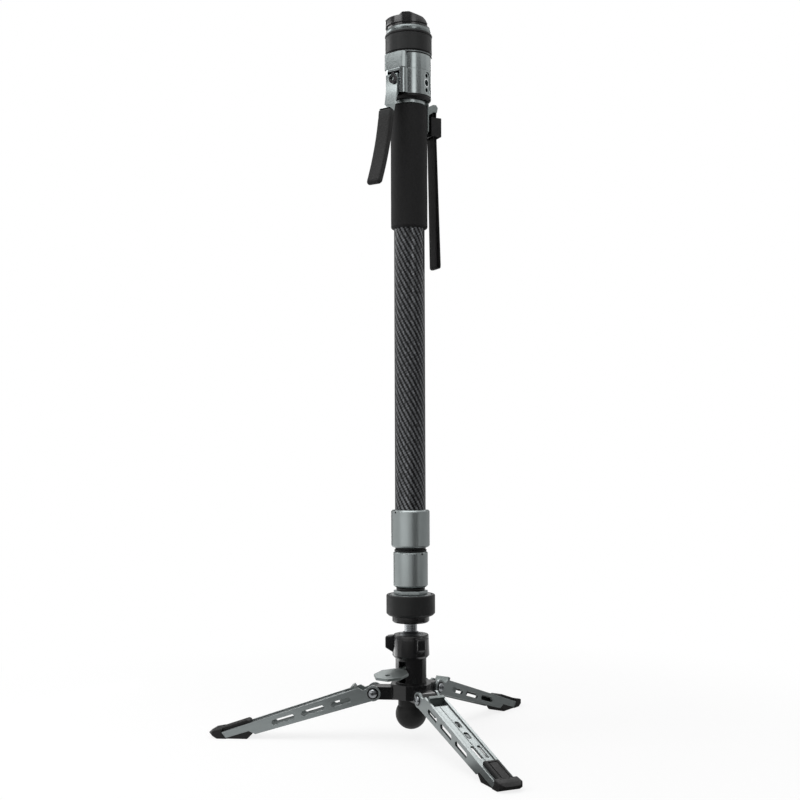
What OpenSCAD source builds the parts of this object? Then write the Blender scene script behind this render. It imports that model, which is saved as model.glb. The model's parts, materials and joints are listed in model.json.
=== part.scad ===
// Camera monopod: twist and trigger locked carbon pole on a three legged ball base
// Millimetres. Origin on the floor under the pole axis, +Z up, squeeze lever towards -Y

/* [Pole tubes] */
// Outer diameter of the top carbon tube
tube_d = 32; // [31:0.5:34]
// Wall of each carbon tube
tube_wall = 1.1; // [0.9:0.1:1.1]
// Step in outer diameter from one tube to the next
tube_step = 4; // [4:0.1:4.4]
// Bare carbon between the upper collar and the foam grip
bare_tube = 293; // [220:1:360]
// Length of a guide bush at a tube's top end
bush_h = 18; // [10:1:26]
// Free space above the middle tube when the pole is closed
middle_drop = 44; // [30:1:60]
// Free space above the inner tube when the pole is closed
inner_drop = 40; // [30:1:60]

/* [Lock collars] */
// Wall of the upper lock collar round its tube
upper_wall = 4.1; // [3.5:0.1:6]
// Height of the upper lock collar
upper_h = 39; // [34:0.5:46]
// Wall of the lower lock collar round its tube
lower_wall = 4; // [3.5:0.1:6]
// Height of the lower lock collar
lower_h = 37.2; // [34:0.1:46]
// Chamfer on the collars' edges
collar_ch = 1.6; // [0.6:0.1:2.2]
// Depth to which a tube sits in its collar
tube_seat = 19; // [14:0.5:20]
// Height of a collar's collet
collet_h = 11; // [8:0.5:12]
// Height of the wiper lip under the upper collar
wiper_h = 2.5; // [1.5:0.1:4]
// Height of the gasket on the lower collar
gasket_h = 1.8; // [1:0.1:3]
// Width of the gasket on the lower collar
gasket_w = 3; // [2:0.1:3.4]

/* [Grip and strap] */
// Thickness of the foam grip
foam_t = 3.1; // [2.6:0.1:4]
// Length of the foam grip
foam_h = 128; // [116:1:160]
// Wall of the neck collar above the foam
neck_wall = 1.8; // [1.5:0.1:2.5]
// Height of the neck collar
neck_h = 4; // [3:0.1:6]
// Compass angle of the strap lug
lug_az = 60; // [40:1:80]
// Width of the webbing
strap_w = 15; // [10:0.5:18]
// Thickness of the webbing
strap_t = 1.6; // [1:0.1:2]
// Drop of the strap loop below its bar
strap_drop = 166; // [120:1:200]
// Distance of the strap bar from the top tube's surface
bar_out = 10; // [8.5:0.1:12]
// Radius of the strap bar
bar_r = 1.5; // [1:0.1:1.8]
// Height of the strap buckle
buckle_h = 20; // [14:1:26]

/* [Head] */
// Wall of the head housing round the top tube
head_wall = 7.7; // [7.4:0.1:9]
// Height of the seal ring under the head
seal_h = 4; // [3:0.1:6]
// Height of the lower housing
low_h = 25.6; // [24:0.1:30]
// Height of the upper housing
up_h = 16.4; // [13:0.1:22]
// Width of the lever boss
boss_w = 20.6; // [19.4:0.1:24]
// Reach of the boss front beyond the head's round
boss_out = 3.8; // [3:0.1:5]
// Radius of the accessory thread
acc_thread_r = 3.175; // [2.4:0.005:4]
// Depth of the accessory thread
acc_depth = 6; // [4:0.1:6.4]
// Distance between the two anti-twist holes
acc_span = 14.8; // [14:0.1:16]
// Radius of the anti-twist holes
acc_pin_r = 2; // [1.2:0.1:2.2]

/* [Squeeze lever] */
// Distance of the lever pivot behind the boss front
pivot_in = 1.9; // [1.5:0.1:2.3]
// Height of the lever pivot above the lower housing's base
pivot_up = 14; // [13:0.1:15]
// Width of the lever between the cheeks
lever_w = 14; // [12:0.1:14.4]
// Width of the lever's lip and rubber grip
lever_grip_w = 16; // [14:0.1:18]
// Radius of the lever pin
pin_r = 2; // [1.5:0.1:2.5]
// Thickness of the lever's rubber grip
lever_t = 8; // [6:0.1:10]
// Length of the lever's rubber grip
lever_grip_l = 80; // [60:1:100]
// Outward bow of the lever's rubber grip at its tip
grip_bow = 11; // [6:0.5:16]

/* [Top coupling] */
// Height of the fixed ring under the top lock ring
low_trim_h = 2.5; // [1.5:0.1:4]
// Height of the top lock ring
lock_h = 21.5; // [18:0.5:28]
// Height of the rim over the top lock ring's rubber sleeve
lock_rim_h = 2.6; // [1.5:0.1:4]
// Thickness of the top lock ring's rubber sleeve
sleeve_t = 2.8; // [2:0.1:3.4]
// Height of the bright trim ring
trim_h = 5; // [4:0.1:7]
// Height of the coupling's low wall
wall_h = 10; // [8:0.1:12]
// Height of the coupling's tall jaws above the low wall
jaw_up = 2.6; // [2:0.1:6]
// Reach of the coupling wall beyond the head's round
crown_out = 0.5; // [0.2:0.1:1.2]
// Radius of the head socket
socket_r = 17; // [15.5:0.1:17.5]
// Radius of the camera thread in the socket floor
thread_r = 4.7625; // [3.175:0.0005:6]
// Depth of the camera thread
thread_h = 14; // [10:0.5:18]

/* [Base joint] */
// Radius of the swivel ball
ball_r = 11; // [9:0.1:11.2]
// Radius of the ball's stem
stem_r = 6.6; // [5:0.1:6.8]
// Height of the base flange above the ball centre
flange_up = 25.5; // [25:0.1:32]
// Radius of the base flange
flange_r = 19.5; // [18:0.1:21]
// Height of the base flange
flange_h = 7; // [5:0.1:9]
// Radius of the base lock ring
base_ring_r = 25.5; // [24:0.1:27]
// Height of the base lock ring
base_ring_h = 22.5; // [18:0.1:28]
// Width of the plug's hexagon across flats
hex_w = 31; // [29:0.1:33]
// Height of the plug's hexagon
hex_h = 4; // [3:0.1:6]
// Height of the seal above the hexagon
plug_seal_h = 3.5; // [2:0.1:5]
// Radius of the lock collar with three wings
wing_body_r = 19.4; // [19.2:0.1:21]
// Height of the lock collar with three wings
wing_h = 24; // [23:0.1:27]
// Reach of the wings from the pole axis
wing_reach = 26.7; // [24:0.1:28]
// Width of a wing
wing_w = 9; // [6:0.1:11]

/* [Column and pedal] */
// Radius of the column
column_r = 16.2; // [16:0.1:18]
// Height of the column
column_h = 26.5; // [26:0.1:34]
// Width of the pedal slot
slot_w = 8.5; // [7:0.1:10]
// Width of the pedal plate
pedal_w = 34; // [28:0.5:36]
// Reach of the pedal from the pole axis
pedal_reach = 52; // [46:0.5:58]
// Thickness of the pedal plate
pedal_t = 3; // [2:0.1:3.4]
// Corner cut of the pedal plate
pedal_cut = 9.5; // [6:0.1:11]

/* [Hub and ball foot] */
// Radius of the hub
hub_r = 22; // [20:0.1:24]
// Height of the hub
hub_h = 15.5; // [14:0.1:20]
// Height of the hub's underside above the floor
hub_up = 45; // [40:0.1:52]
// Radius of the rubber ball foot
foot_ball_r = 16.2; // [13:0.1:18]
// Height of the ball foot's centre above the floor
foot_ball_up = 28; // [24:0.1:30]
// Radius of the ball foot's neck
foot_neck_r = 13.5; // [9:0.1:14]

/* [Legs] */
// Distance of a leg hinge from the pole axis
hinge_rad = 39; // [37:0.1:44]
// Height of a leg hinge above the hub's underside
hinge_up = 5; // [4:0.1:6]
// Length of a leg from its hinge to its cap
leg_len = 167; // [150:1:190]
// Width of a leg
leg_w = 22; // [20:0.1:24]
// Thickness of a leg's side plate
leg_plate = 2.5; // [2:0.1:3]
// Height of the leg's centre line at its tip
leg_tip_up = -0.2; // [-0.4:0.1:1]
// Width of a leg's rubber nose
nose_w = 24; // [23.4:0.1:30]
// Radius of a hinge screw
screw_r = 2.5; // [2:0.1:3]

/* [Fits] */
// Radial clearance of a turning or sliding fit
run_gap = 0.06; // [0.03:0.01:0.09]
// Side clearance between flat moving faces
side_gap = 0.25; // [0.15:0.05:0.3]
// Clearance of concentric ball faces
ball_gap = 0.2; // [0.15:0.05:0.3]

/* [Hidden] */
$fn = 96;

// Finishes
grey_alloy = "#8c9191";
silver_alloy = "#c4c8c8";
black_alloy = "#1e1f20";
rubber = "#2b2b2b";
foam = "#242424";
carbon = "#303236";
nylon = "#d8d4c8";
steel = "#b9bcbf";
webbing = "#161616";

// A cut passes this far beyond the face that it opens
over = 1;

// Tube radii
outer_r = tube_d / 2;
outer_in = outer_r - tube_wall;
middle_r = outer_r - tube_step / 2;
middle_in = middle_r - tube_wall;
inner_r = middle_r - tube_step / 2;
inner_in = inner_r - tube_wall;

// Radii round the tubes
upper_r = outer_r + upper_wall;
lower_r = middle_r + lower_wall;
gasket_r = middle_r + gasket_w;
foam_r = outer_r + foam_t;
neck_r = outer_r + neck_wall;
bar_rad = outer_r + bar_out;
head_r = outer_r + head_wall;
boss_d = head_r + boss_out;
pivot_d = boss_d - pivot_in;
crown_r = head_r + crown_out;

// Levels up the base
z_hinge = hub_up + hinge_up;
z_hub = hub_up + hub_h;
z_column = z_hub + column_h;
z_ball = z_column + wing_h - 13;
z_wing = z_column + wing_h;
z_flange = z_ball + flange_up;
z_ring = z_flange + flange_h;
z_hex = z_ring + base_ring_h;
z_seal = z_hex + hex_h;

// Levels up the pole
z_lower = z_seal + plug_seal_h;
z_gasket = z_lower + lower_h;
z_wiper = z_gasket + gasket_h + 0.2;
z_upper = z_gasket + gasket_h + wiper_h;
z_bare = z_upper + upper_h;
z_foam = z_bare + bare_tube;
z_neck = z_foam + foam_h;
z_head_seal = z_neck + neck_h;
z_low = z_head_seal + seal_h;
z_up = z_low + low_h;
z_low_trim = z_up + up_h;
z_lock = z_low_trim + low_trim_h;
z_trim = z_lock + lock_h;
z_crown = z_trim + trim_h;
z_wall = z_crown + wall_h;
z_jaw = z_wall + jaw_up;

// Tube ends
outer_bottom = z_bare - tube_seat;
outer_top = z_low + pivot_up;
middle_bottom = z_gasket - tube_seat;
middle_top = outer_top - middle_drop;
inner_bottom = z_seal;
inner_top = middle_top - inner_drop;
seat_gap = 0.5;

// Top coupling
spigot_r = 15;
core_r = head_r - 2.2;
sleeve_r = core_r + sleeve_t;
lock_rim_r = sleeve_r + 0.4;
z_lock_rim = z_trim - side_gap - lock_rim_h;
socket_floor = z_crown + 1;
undercut = 1.5;
undercut_h = 2.6;
jaw_starts = [281, 161, 41];
jaw_span = 50;
step_run = 3.6;
ramp_az = 50;
ramp_lip = 1;
ramp_foot = z_crown + 1.5;
// The ramp's edge on the wall: angle from the ramp's middle, height
ramp_edge = [[106, z_jaw + 0.4], [95, z_jaw - 1.2], [88, z_wall + 0.4], [67, z_wall - 1.7], [58.5, z_wall - 3.9],
    [47, ramp_foot]];
clutch_az = [110, 230, 350];
clutch_w = 6;
clutch_h = 3;
clutch_up = 1.5;
clutch_back = crown_r - 3.2;

// Head boss, and its pocket for the lever's knuckle
boss_cut = 2.6;
boss_side = boss_w / 2 + boss_cut;
cheek_r = 7;
z_pivot = z_low + pivot_up;
knuckle_r = 5.4;
pin_l = boss_w - 3;
cheek_gap = lever_w + 2 * side_gap;
pocket_in = outer_r + 2.6;
rod_in = middle_r + 0.25;
rod_out = outer_in - 0.25;
rod_w = 4;
z_hook = outer_top + 0.4;
hook_h = 3;
acc_up = 13;
acc_x = head_r - 1.1;
insert_r = acc_thread_r + 1.2;

// Squeeze lever
lip_up = -33;
lip_d = 14;
lip_half = 4;
lip_slant = 2;
arm_front = knuckle_r + 0.2;
catch_x = 3.2;
catch_up = 3.4;
catch_r = 4.6;
catch_t = 2.2;
catch_pin_r = 1.2;
catch_stub = 2;

// Strap
z_bar = z_neck - 2.5;
lug_w = strap_w + 1.2;
lug_ear = 2;
saddle_gap = 0.3;
saddle_t = 1.6;
saddle_h = 27;
saddle_half = 33;
strap_gap = 3.8;
fold_in = bar_rad + 0.4;

// Ball joint
seat_r = ball_r + 2.9;
seat_top = 4;
seat_floor = z_column - 3;
collar_bore = column_r - 0.6;
dome_in = ball_r + 5.5;
dome_t = 1;
cup_r = dome_in + dome_t + 0.5;
dome_angle = 50;
spigot_h = 6;
ring_bore_r = 15;
ring_core_r = base_ring_r - 3;
hex_turn = 33;
plug_r = 10;

// Pedal and brake
pedal_z = z_column - 11.3;
pedal_pin_d = 9;
pedal_pin_r = 1.5;
neck_w = slot_w - 2 * side_gap;
plate_in = column_r + 2.8;
pedal_tilt = 8;
plunger_r = 5;

// Legs
leg_az = [90, 210, 330];
arm_r = 6.75;
arm_w = leg_w - 2 * leg_plate - 2 * side_gap;
channel_w = leg_w - 2 * leg_plate;
leg_slope = asin((z_hinge - leg_tip_up) / leg_len);
eye_r = 8;
rail_w = 3;
web_from = 30;
web_drop = 1.2;
web_t = 2;
step_u = leg_len - 35;
narrow_u = leg_len - 29.4;
tip_u = leg_len - 3.5;
cap_l = 32;
hole_side = 1.8;
slot_side = 3.6;
head_sw_r = 4.6;
head_sw_h = 2.6;
tip_x = hinge_rad + leg_len * cos(leg_slope);
catch_w = channel_w - 2 * side_gap;

function arc_pts(c, r, a0, a1, n) =
    [for (i = [0 : n]) let(a = a0 + (a1 - a0) * i / n) c + r * [cos(a), sin(a)]];
// Height of a side plate's top edge at u from the hinge
function leg_top(u) = 10.1 - 0.018 * u;

// A turned ring with optional chamfers on its outer edges
module ring(ri, ro, z0, z1, c0 = 0, c1 = 0) {
    low = c0 > 0 ? [[ro - c0, z0], [ro, z0 + c0]] : [[ro, z0]];
    high = c1 > 0 ? [[ro, z1 - c1], [ro - c1, z1]] : [[ro, z1]];
    rotate_extrude() polygon(concat([[ri, z0]], low, high, [[ri, z1]]));
}

// A turned ring whose outer edges are rounded
module round_ring(ri, ro, z0, z1, e) {
    rotate_extrude() polygon(concat(
        [[ri, z0]],
        arc_pts([ro - e, z0 + e], e, -90, 0, 6),
        arc_pts([ro - e, z1 - e], e, 0, 90, 6),
        [[ri, z1]]
    ));
}

// An outline in the plane of radius and height, made w wide across it
module across(w) {
    rotate([90, 0, 0]) linear_extrude(w, center = true) children();
}

// A slice of the space round the axis between two compass angles
module sector(a0, a1, r, z0, z1) {
    translate([0, 0, z0]) linear_extrude(z1 - z0)
        polygon(concat([[0, 0]], arc_pts([0, 0], r, a0, a1, 8)));
}

// Top coupling

module clutch_slot(gap, reach_in) {
    translate([reach_in, -clutch_w / 2 - gap, z_crown + clutch_up - gap])
        cube([clutch_back + gap - reach_in, clutch_w + 2 * gap, clutch_h + 2 * gap]);
}

module top_crown() {
    key_drop = wall_h + jaw_up;
    color(black_alloy) difference() {
        union() {
            ring(0, crown_r, z_crown + undercut_h, z_wall);
            ring(0, crown_r - undercut, z_crown, z_crown + undercut_h + over);
            ring(0, spigot_r, z_low_trim, z_crown);
            for (a = jaw_starts) difference() {
                intersection() {
                    ring(socket_r - over, crown_r, z_wall - over, z_jaw);
                    sector(a - 1, a + jaw_span, 2 * crown_r, z_wall - over, z_jaw);
                }
                rotate(a) translate([crown_r, 0, 0]) rotate(90) across(crown_r)
                    polygon([[-crown_r, z_wall - 1], [-step_run / jaw_up, z_wall - 1],
                        [step_run * (1 + 1 / jaw_up), z_jaw + 1], [-crown_r, z_jaw + 1]]);
            }
        }
        translate([0, 0, socket_floor]) cylinder(r = socket_r, h = key_drop + over);
        translate([0, 0, socket_floor - thread_h]) cylinder(r = thread_r, h = thread_h + over);
        for (a = clutch_az) rotate(a) clutch_slot(side_gap, socket_r - over);
        rotate(ramp_az) difference() {
            across(3 * crown_r) polygon(concat([for (p = ramp_edge) [crown_r * cos(p[0]), p[1]]],
                [[2 * crown_r, ramp_foot], [2 * crown_r, z_jaw + 1],
                    [crown_r * cos(ramp_edge[0][0]), z_jaw + 1]]));
            translate([0, 0, z_crown]) cylinder(r = socket_r + ramp_lip, h = wall_h - 2);
        }
    }
}

module top_trim_ring() {
    color(silver_alloy) round_ring(spigot_r, head_r - 0.2, z_trim, z_crown, trim_h / 2 - 0.1);
}

module top_ring_core() {
    color(black_alloy) union() {
        ring(spigot_r + run_gap, core_r, z_lock + side_gap, z_trim - side_gap);
        ring(core_r - over, lock_rim_r, z_lock_rim, z_trim - side_gap, 0.5, 0.5);
    }
}

module top_ring_rubber() {
    color(rubber) ring(core_r, sleeve_r, z_lock + 0.5, z_lock_rim, 0.8, 0.4);
}

module clutch_jaw(a) {
    color(steel) rotate(a) intersection() {
        clutch_slot(0, socket_r + 0.3);
        ring(socket_r + 0.3, clutch_back, z_crown, z_wall);
    }
}
module clutch_jaw_1() { clutch_jaw(clutch_az[0]); }
module clutch_jaw_2() { clutch_jaw(clutch_az[1]); }
module clutch_jaw_3() { clutch_jaw(clutch_az[2]); }

module top_lower_trim() {
    color(silver_alloy) ring(spigot_r, sleeve_r, z_low_trim, z_lock, 0.4, 0.6);
}

// Head

// The head's round body with the lever boss on its front, h tall
module head_body(h, corner) {
    union() {
        cylinder(r = head_r, h = h);
        linear_extrude(h) polygon(concat([[-boss_side, 0], [boss_side, 0]], corner,
            [for (i = [len(corner) - 1 : -1 : 0]) [-corner[i].x, corner[i].y]]));
    }
}

module head_upper_housing() {
    color(grey_alloy) translate([0, 0, z_up]) difference() {
        head_body(up_h, [[boss_side, boss_cut - boss_d], [boss_side - boss_cut, -boss_d]]);
        translate([0, 0, -over]) cylinder(r = outer_r - 6, h = up_h + 2 * over);
    }
}

module head_lower_housing() {
    roof = 3.2;
    face_w = 9.4;
    face_end = acc_span / 2 - 1;
    pin_hole = 4;
    color(grey_alloy) difference() {
        translate([0, 0, z_low])
            head_body(low_h, arc_pts([boss_side - cheek_r, cheek_r - boss_d], cheek_r, 0, -90, 8));
        translate([0, 0, z_low - over]) cylinder(r = outer_r, h = outer_top - z_low + over);
        translate([0, 0, outer_top - over]) cylinder(r = outer_in, h = z_up - outer_top - roof + over);
        translate([-cheek_gap / 2, -2 * boss_d, z_low - over])
            cube([cheek_gap, 2 * boss_d - pocket_in, low_h - roof + over]);
        translate([-rod_w / 2 - side_gap, -pocket_in - over, outer_top])
            cube([rod_w + 2 * side_gap, pocket_in, low_h - pivot_up - roof]);
        lever_axis() cylinder(r = pin_r, h = pin_l, center = true);
        translate([acc_x, 0, z_low + acc_up]) {
            translate([0, -face_w / 2, -face_end]) cube([head_r, face_w, 2 * face_end]);
            for (s = [-1, 1]) translate([0, 0, s * face_end]) rotate([0, 90, 0])
                cylinder(r = face_w / 2, h = head_r);
            rotate([0, -90, 0]) cylinder(r = insert_r, h = acc_depth);
            for (s = [-1, 1]) translate([over, 0, s * acc_span / 2]) rotate([0, -90, 0])
                cylinder(r = acc_pin_r, h = pin_hole + over);
        }
    }
}

module accessory_insert() {
    color(silver_alloy) translate([acc_x, 0, z_low + acc_up]) rotate([0, -90, 0])
        difference() {
            cylinder(r = insert_r, h = acc_depth);
            translate([0, 0, -over]) cylinder(r = acc_thread_r, h = acc_depth + 2 * over);
        }
}

// A cylinder drawn along +Z becomes one along the lever's pivot
module lever_axis() {
    translate([0, -pivot_d, z_pivot]) rotate([0, 90, 0]) children();
}

module lever_arm() {
    top = knuckle_r - 0.2;
    edge = 1.4;
    color(grey_alloy) difference() {
        union() {
            lever_axis() cylinder(r = knuckle_r, h = lever_w, center = true);
            translate([0, -pivot_d, z_pivot]) rotate(-90) across(lever_w)
                polygon([[-1, top], [arm_front - edge, top], [arm_front, top - edge], [arm_front, -12],
                    [arm_front + 2.6, lip_up + 6.5], [lip_d + lip_half, lip_up],
                    [lip_d - lip_half, lip_up - lip_slant], [7.5, lip_up + 7], [2.2, -14],
                    [-2.2, 0.4 - knuckle_r]]);
        }
        lever_axis() cylinder(r = pin_r + run_gap, h = 2 * lever_w, center = true);
        at_catch() translate([0, 0, -catch_stub - over])
            cylinder(r = catch_pin_r + run_gap, h = catch_stub + 2 * over);
    }
}

// Centre line of the rubber grip, bowed outwards towards its tip
function grip_line(s) =
    [lip_d + 0.13 * s + grip_bow * pow(s / lever_grip_l, 2), lip_up - lip_slant / 2 - 0.97 * s];

module lever_grip() {
    steps = 8;
    half = lever_t / 2;
    tip = 3;
    front = [for (i = [0 : steps]) grip_line(lever_grip_l * i / steps) + [half, 0.1 * half]];
    back = [for (i = [steps : -1 : 0]) grip_line(lever_grip_l * i / steps) - [half, 0.1 * half]];
    start = [[lip_d - lip_half, lip_up - lip_slant], [lip_d + lip_half, lip_up]];
    end = grip_line(lever_grip_l) + [0.8, -tip];
    color(rubber) translate([0, -pivot_d, z_pivot]) rotate(-90) across(lever_grip_w)
        polygon(concat(start, [for (i = [1 : steps]) front[i]], [end], [for (i = [0 : steps - 1]) back[i]]));
}

module lever_pin() {
    color(steel) lever_axis() cylinder(r = pin_r, h = pin_l, center = true);
}

// The catch's own pivot, on the lever's flat front and facing out of it
module at_catch() {
    translate([catch_x, -pivot_d - arm_front - side_gap, z_pivot + catch_up]) rotate([90, 0, 0]) children();
}

// Swinging catch on the front of the lever, with a thumb crescent
module lever_catch() {
    color(black_alloy) at_catch() union() {
        linear_extrude(catch_t) union() {
            circle(r = catch_pin_r + 0.8);
            translate([0, -catch_r]) difference() {
                circle(r = catch_r);
                translate([-1, 1]) circle(r = catch_r - 2);
            }
        }
        translate([0, 0, -catch_stub]) cylinder(r = catch_pin_r, h = catch_stub + catch_t / 2);
    }
}

module release_rod() {
    half = asin(rod_w / 2 / rod_out);
    hook_out = pocket_in + 0.4;
    color(steel) union() {
        intersection() {
            ring(rod_in, rod_out, outer_bottom + 2, outer_top + over);
            sector(270 - half, 270 + half, tube_d, outer_bottom, outer_top + 2 * over);
        }
        translate([-rod_w / 2, -hook_out, z_hook]) cube([rod_w, hook_out - rod_in - 0.1, hook_h]);
    }
}

module head_seal_ring() {
    color(black_alloy) ring(outer_r, head_r - 0.5, z_head_seal, z_low, 2, 0);
}

module neck_collar() {
    color(silver_alloy) ring(outer_r, neck_r, z_neck, z_head_seal, 0.5, 0.5);
}

module foam_grip() {
    color(foam) round_ring(outer_r, foam_r, z_foam, z_neck, 2.2);
}

// Strap and its lug

module strap_lug() {
    ear_top = z_head_seal - 0.6;
    ear_root = foam_r - 1.1;
    saddle_r = foam_r + saddle_gap + saddle_t;
    half = lug_w / 2;
    color(grey_alloy) rotate(lug_az) union() {
        intersection() {
            union() {
                ring(foam_r + saddle_gap, saddle_r, z_neck - saddle_h, ear_top, 0.8, 0);
                ring(neck_r, saddle_r, z_neck + 0.5, ear_top);
            }
            sector(-saddle_half, saddle_half, 2 * bar_rad, z_neck - saddle_h - over, ear_top + over);
        }
        for (s = [-1, 1]) translate([0, s * (half + lug_ear / 2), 0]) across(lug_ear)
            polygon([[ear_root, z_bar + 2], [bar_rad - 2.2, z_bar + 5], [bar_rad + 1, z_bar + 5],
                [bar_rad + 3, z_bar + 2], [bar_rad + 2, z_bar - 3], [bar_rad - 2, z_bar - 3],
                [ear_root, z_bar - 7]]);
        translate([bar_rad, 0, z_bar]) rotate([90, 0, 0])
            cylinder(r = bar_r, h = lug_w + lug_ear, center = true);
    }
}

module strap_loop() {
    eye = bar_r + 0.4;
    low = z_bar - strap_drop;
    out = fold_in + strap_t + strap_gap;
    top_in = bar_rad - eye - strap_t;
    turn = z_bar - 6;
    top_out = bar_rad + eye + strap_t;
    color(webbing) rotate(lug_az) difference() {
        union() {
            translate([bar_rad, 0, z_bar]) rotate([90, 0, 0])
                cylinder(r = eye + strap_t, h = strap_w, center = true);
            across(strap_w) polygon([[top_in, z_bar], [top_out, z_bar], [top_out + 0.5, turn],
                [out + strap_t, low], [fold_in, low], [top_in + 0.5, turn]]);
        }
        translate([bar_rad, 0, z_bar]) rotate([90, 0, 0])
            cylinder(r = eye, h = 2 * strap_w, center = true);
        across(2 * strap_w)
            polygon([[bar_rad - 0.2, turn - 6], [out, low + strap_t], [fold_in + strap_t, low + strap_t]]);
    }
}

module strap_buckle() {
    z0 = z_bar - 8 - buckle_h;
    far = bar_rad + 7.4;
    near = bar_rad - 4.4;
    color(black_alloy) rotate(lug_az) difference() {
        translate([near, -strap_w / 2 - 2, z0]) cube([far - near, strap_w + 4, buckle_h]);
        translate([near + 1.4, -strap_w / 2 - 0.2, z0 - over])
            cube([far - near - 2.8, strap_w + 0.4, buckle_h + 2 * over]);
    }
}

// Pole tubes, collars and locks

module outer_tube() {
    color(carbon) ring(outer_in, outer_r, outer_bottom, outer_top);
}

module collar(mouth, cave, seat, ro, z0, z1, seat_z) {
    lip = 5;
    color(grey_alloy) rotate_extrude() polygon([
        [mouth, z0], [ro - collar_ch, z0], [ro, z0 + collar_ch], [ro, z1 - collar_ch], [ro - collar_ch, z1],
        [seat, z1], [seat, seat_z], [cave, seat_z], [cave, z0 + lip], [mouth, z0 + lip]
    ]);
}

module upper_collar() {
    collar(middle_r + 0.4, outer_r + 1.5, outer_r, upper_r, z_upper, z_bare, outer_bottom - seat_gap);
}

module upper_collet() {
    top = outer_bottom - seat_gap;
    color(nylon) ring(middle_r + run_gap, outer_r + 1.4, top - collet_h, top, 1.2, 0);
}

module upper_wiper() {
    color(rubber) ring(middle_r + 0.3, middle_r + 2, z_wiper, z_upper, 0.4, 0);
}

module middle_tube() {
    color(carbon) ring(middle_in, middle_r, middle_bottom, middle_top);
}

module middle_bush() {
    half = asin(rod_w / 2 / rod_out) + 4;
    color(nylon) difference() {
        ring(middle_r, outer_in - run_gap, middle_top - bush_h, middle_top);
        sector(270 - half, 270 + half, tube_d, middle_top - bush_h - over, middle_top + over);
    }
}

module lower_collar() {
    collar(inner_r + 0.4, middle_r + 1.5, middle_r + run_gap, lower_r, z_lower, z_gasket,
        middle_bottom - seat_gap);
}

module lower_collet() {
    bore = inner_r + run_gap;
    top = middle_bottom - seat_gap - side_gap;
    color(nylon) union() {
        ring(bore, middle_r + 1.2, middle_bottom - seat_gap - collet_h + side_gap, top, 1.2, 0);
        ring(bore, middle_r, top, middle_bottom);
    }
}

module lower_gasket() {
    color(rubber) ring(middle_r, gasket_r, z_gasket + side_gap, z_gasket + gasket_h, 0, 0.4);
}

module inner_tube() {
    color(carbon) ring(inner_in, inner_r, inner_bottom, inner_top);
}

module inner_bush() {
    color(nylon) ring(inner_r, middle_in - run_gap, inner_top - bush_h, inner_top);
}

module tube_plug() {
    spigot_up = 28;
    color(silver_alloy) union() {
        translate([0, 0, z_hex]) rotate(hex_turn) cylinder(r = hex_w / sqrt(3), h = hex_h, $fn = 6);
        translate([0, 0, z_ring + 2]) cylinder(r = plug_r, h = z_hex - z_ring - 2);
        translate([0, 0, z_seal]) cylinder(r = inner_in, h = spigot_up);
    }
}

module plug_seal() {
    color(rubber) ring(inner_r, 15, z_seal, z_lower - side_gap, 0.5, 0.5);
}

// Base lock ring and ball joint

module base_ring_core() {
    color(grey_alloy) ring(ring_bore_r + run_gap, ring_core_r, z_ring + side_gap, z_hex - side_gap, 0, 1.2);
}

module base_ring_rubber() {
    color(rubber) ring(ring_core_r, base_ring_r, z_ring + side_gap, z_hex - side_gap, 2.4, 0.9);
}

module base_socket() {
    color(black_alloy) difference() {
        union() {
            ring(0, flange_r, z_flange, z_ring, 1.6, 0.6);
            ring(0, ring_bore_r, z_ring, z_hex);
        }
        translate([0, 0, z_ring + 2]) cylinder(r = plug_r, h = base_ring_h);
        translate([0, 0, z_flange - over]) cylinder(r = stem_r - 1.6, h = flange_h - 1 + over);
    }
}

module ball_stud() {
    color(steel) translate([0, 0, z_ball]) union() {
        sphere(r = ball_r);
        cylinder(r = stem_r, h = flange_up);
        cylinder(r = stem_r - 1.6, h = flange_up + flange_h - 1);
    }
}

// Cap that turns with the ball and closes the collar's mouth
module ball_dome() {
    reach = dome_in + dome_t;
    color(black_alloy) translate([0, 0, z_ball]) difference() {
        sphere(r = reach);
        sphere(r = dome_in);
        translate([0, 0, -reach - over]) cylinder(r = 2 * reach, h = reach + over + reach * cos(dome_angle));
        cylinder(r = stem_r, h = reach + over);
    }
}

module wing_collar() {
    root = wing_body_r - 1;
    color(black_alloy) difference() {
        union() {
            rotate_extrude() polygon([
                [0, z_column], [wing_body_r - 2, z_column], [wing_body_r, z_column + 2.4],
                [wing_body_r - 0.6, z_wing - 4.4], [wing_body_r - 1, z_wing - 4],
                [wing_body_r - 0.6, z_wing - 3.6],
                [wing_body_r - 0.8, z_wing - 0.8], [wing_body_r - 1.6, z_wing], [0, z_wing]
            ]);
            for (a = leg_az) rotate(a) across(wing_w)
                polygon([[root, z_column + 5], [wing_reach, z_column + 10], [wing_reach, z_wing - 3],
                    [wing_reach - 1.5, z_wing - 1.8], [root, z_wing - 0.8]]);
        }
        translate([0, 0, z_ball]) sphere(r = cup_r);
        translate([0, 0, z_column - over]) cylinder(r = collar_bore + run_gap, h = z_ball - z_column + over);
    }
}

module column() {
    color(black_alloy) difference() {
        union() {
            ring(0, column_r, z_hub, z_column);
            ring(0, collar_bore, z_column, z_column + spigot_h);
        }
        translate([0, 0, seat_floor]) cylinder(r = seat_r + run_gap, h = spigot_h + 3 + over);
        translate([0, 0, z_hub + 4]) cylinder(r = plunger_r + run_gap, h = column_h);
        translate([-slot_w / 2, -column_r - over, z_hub + 1.5])
            cube([slot_w, column_r + over + 1, seat_floor - z_hub - 1.5]);
        translate([0, -pedal_pin_d, pedal_z]) rotate([0, 90, 0])
            cylinder(r = pedal_pin_r, h = 24, center = true);
    }
}

module ball_seat() {
    color(nylon) difference() {
        ring(0, seat_r, seat_floor, z_ball + seat_top);
        translate([0, 0, z_ball]) sphere(r = ball_r + ball_gap);
    }
}

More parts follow.
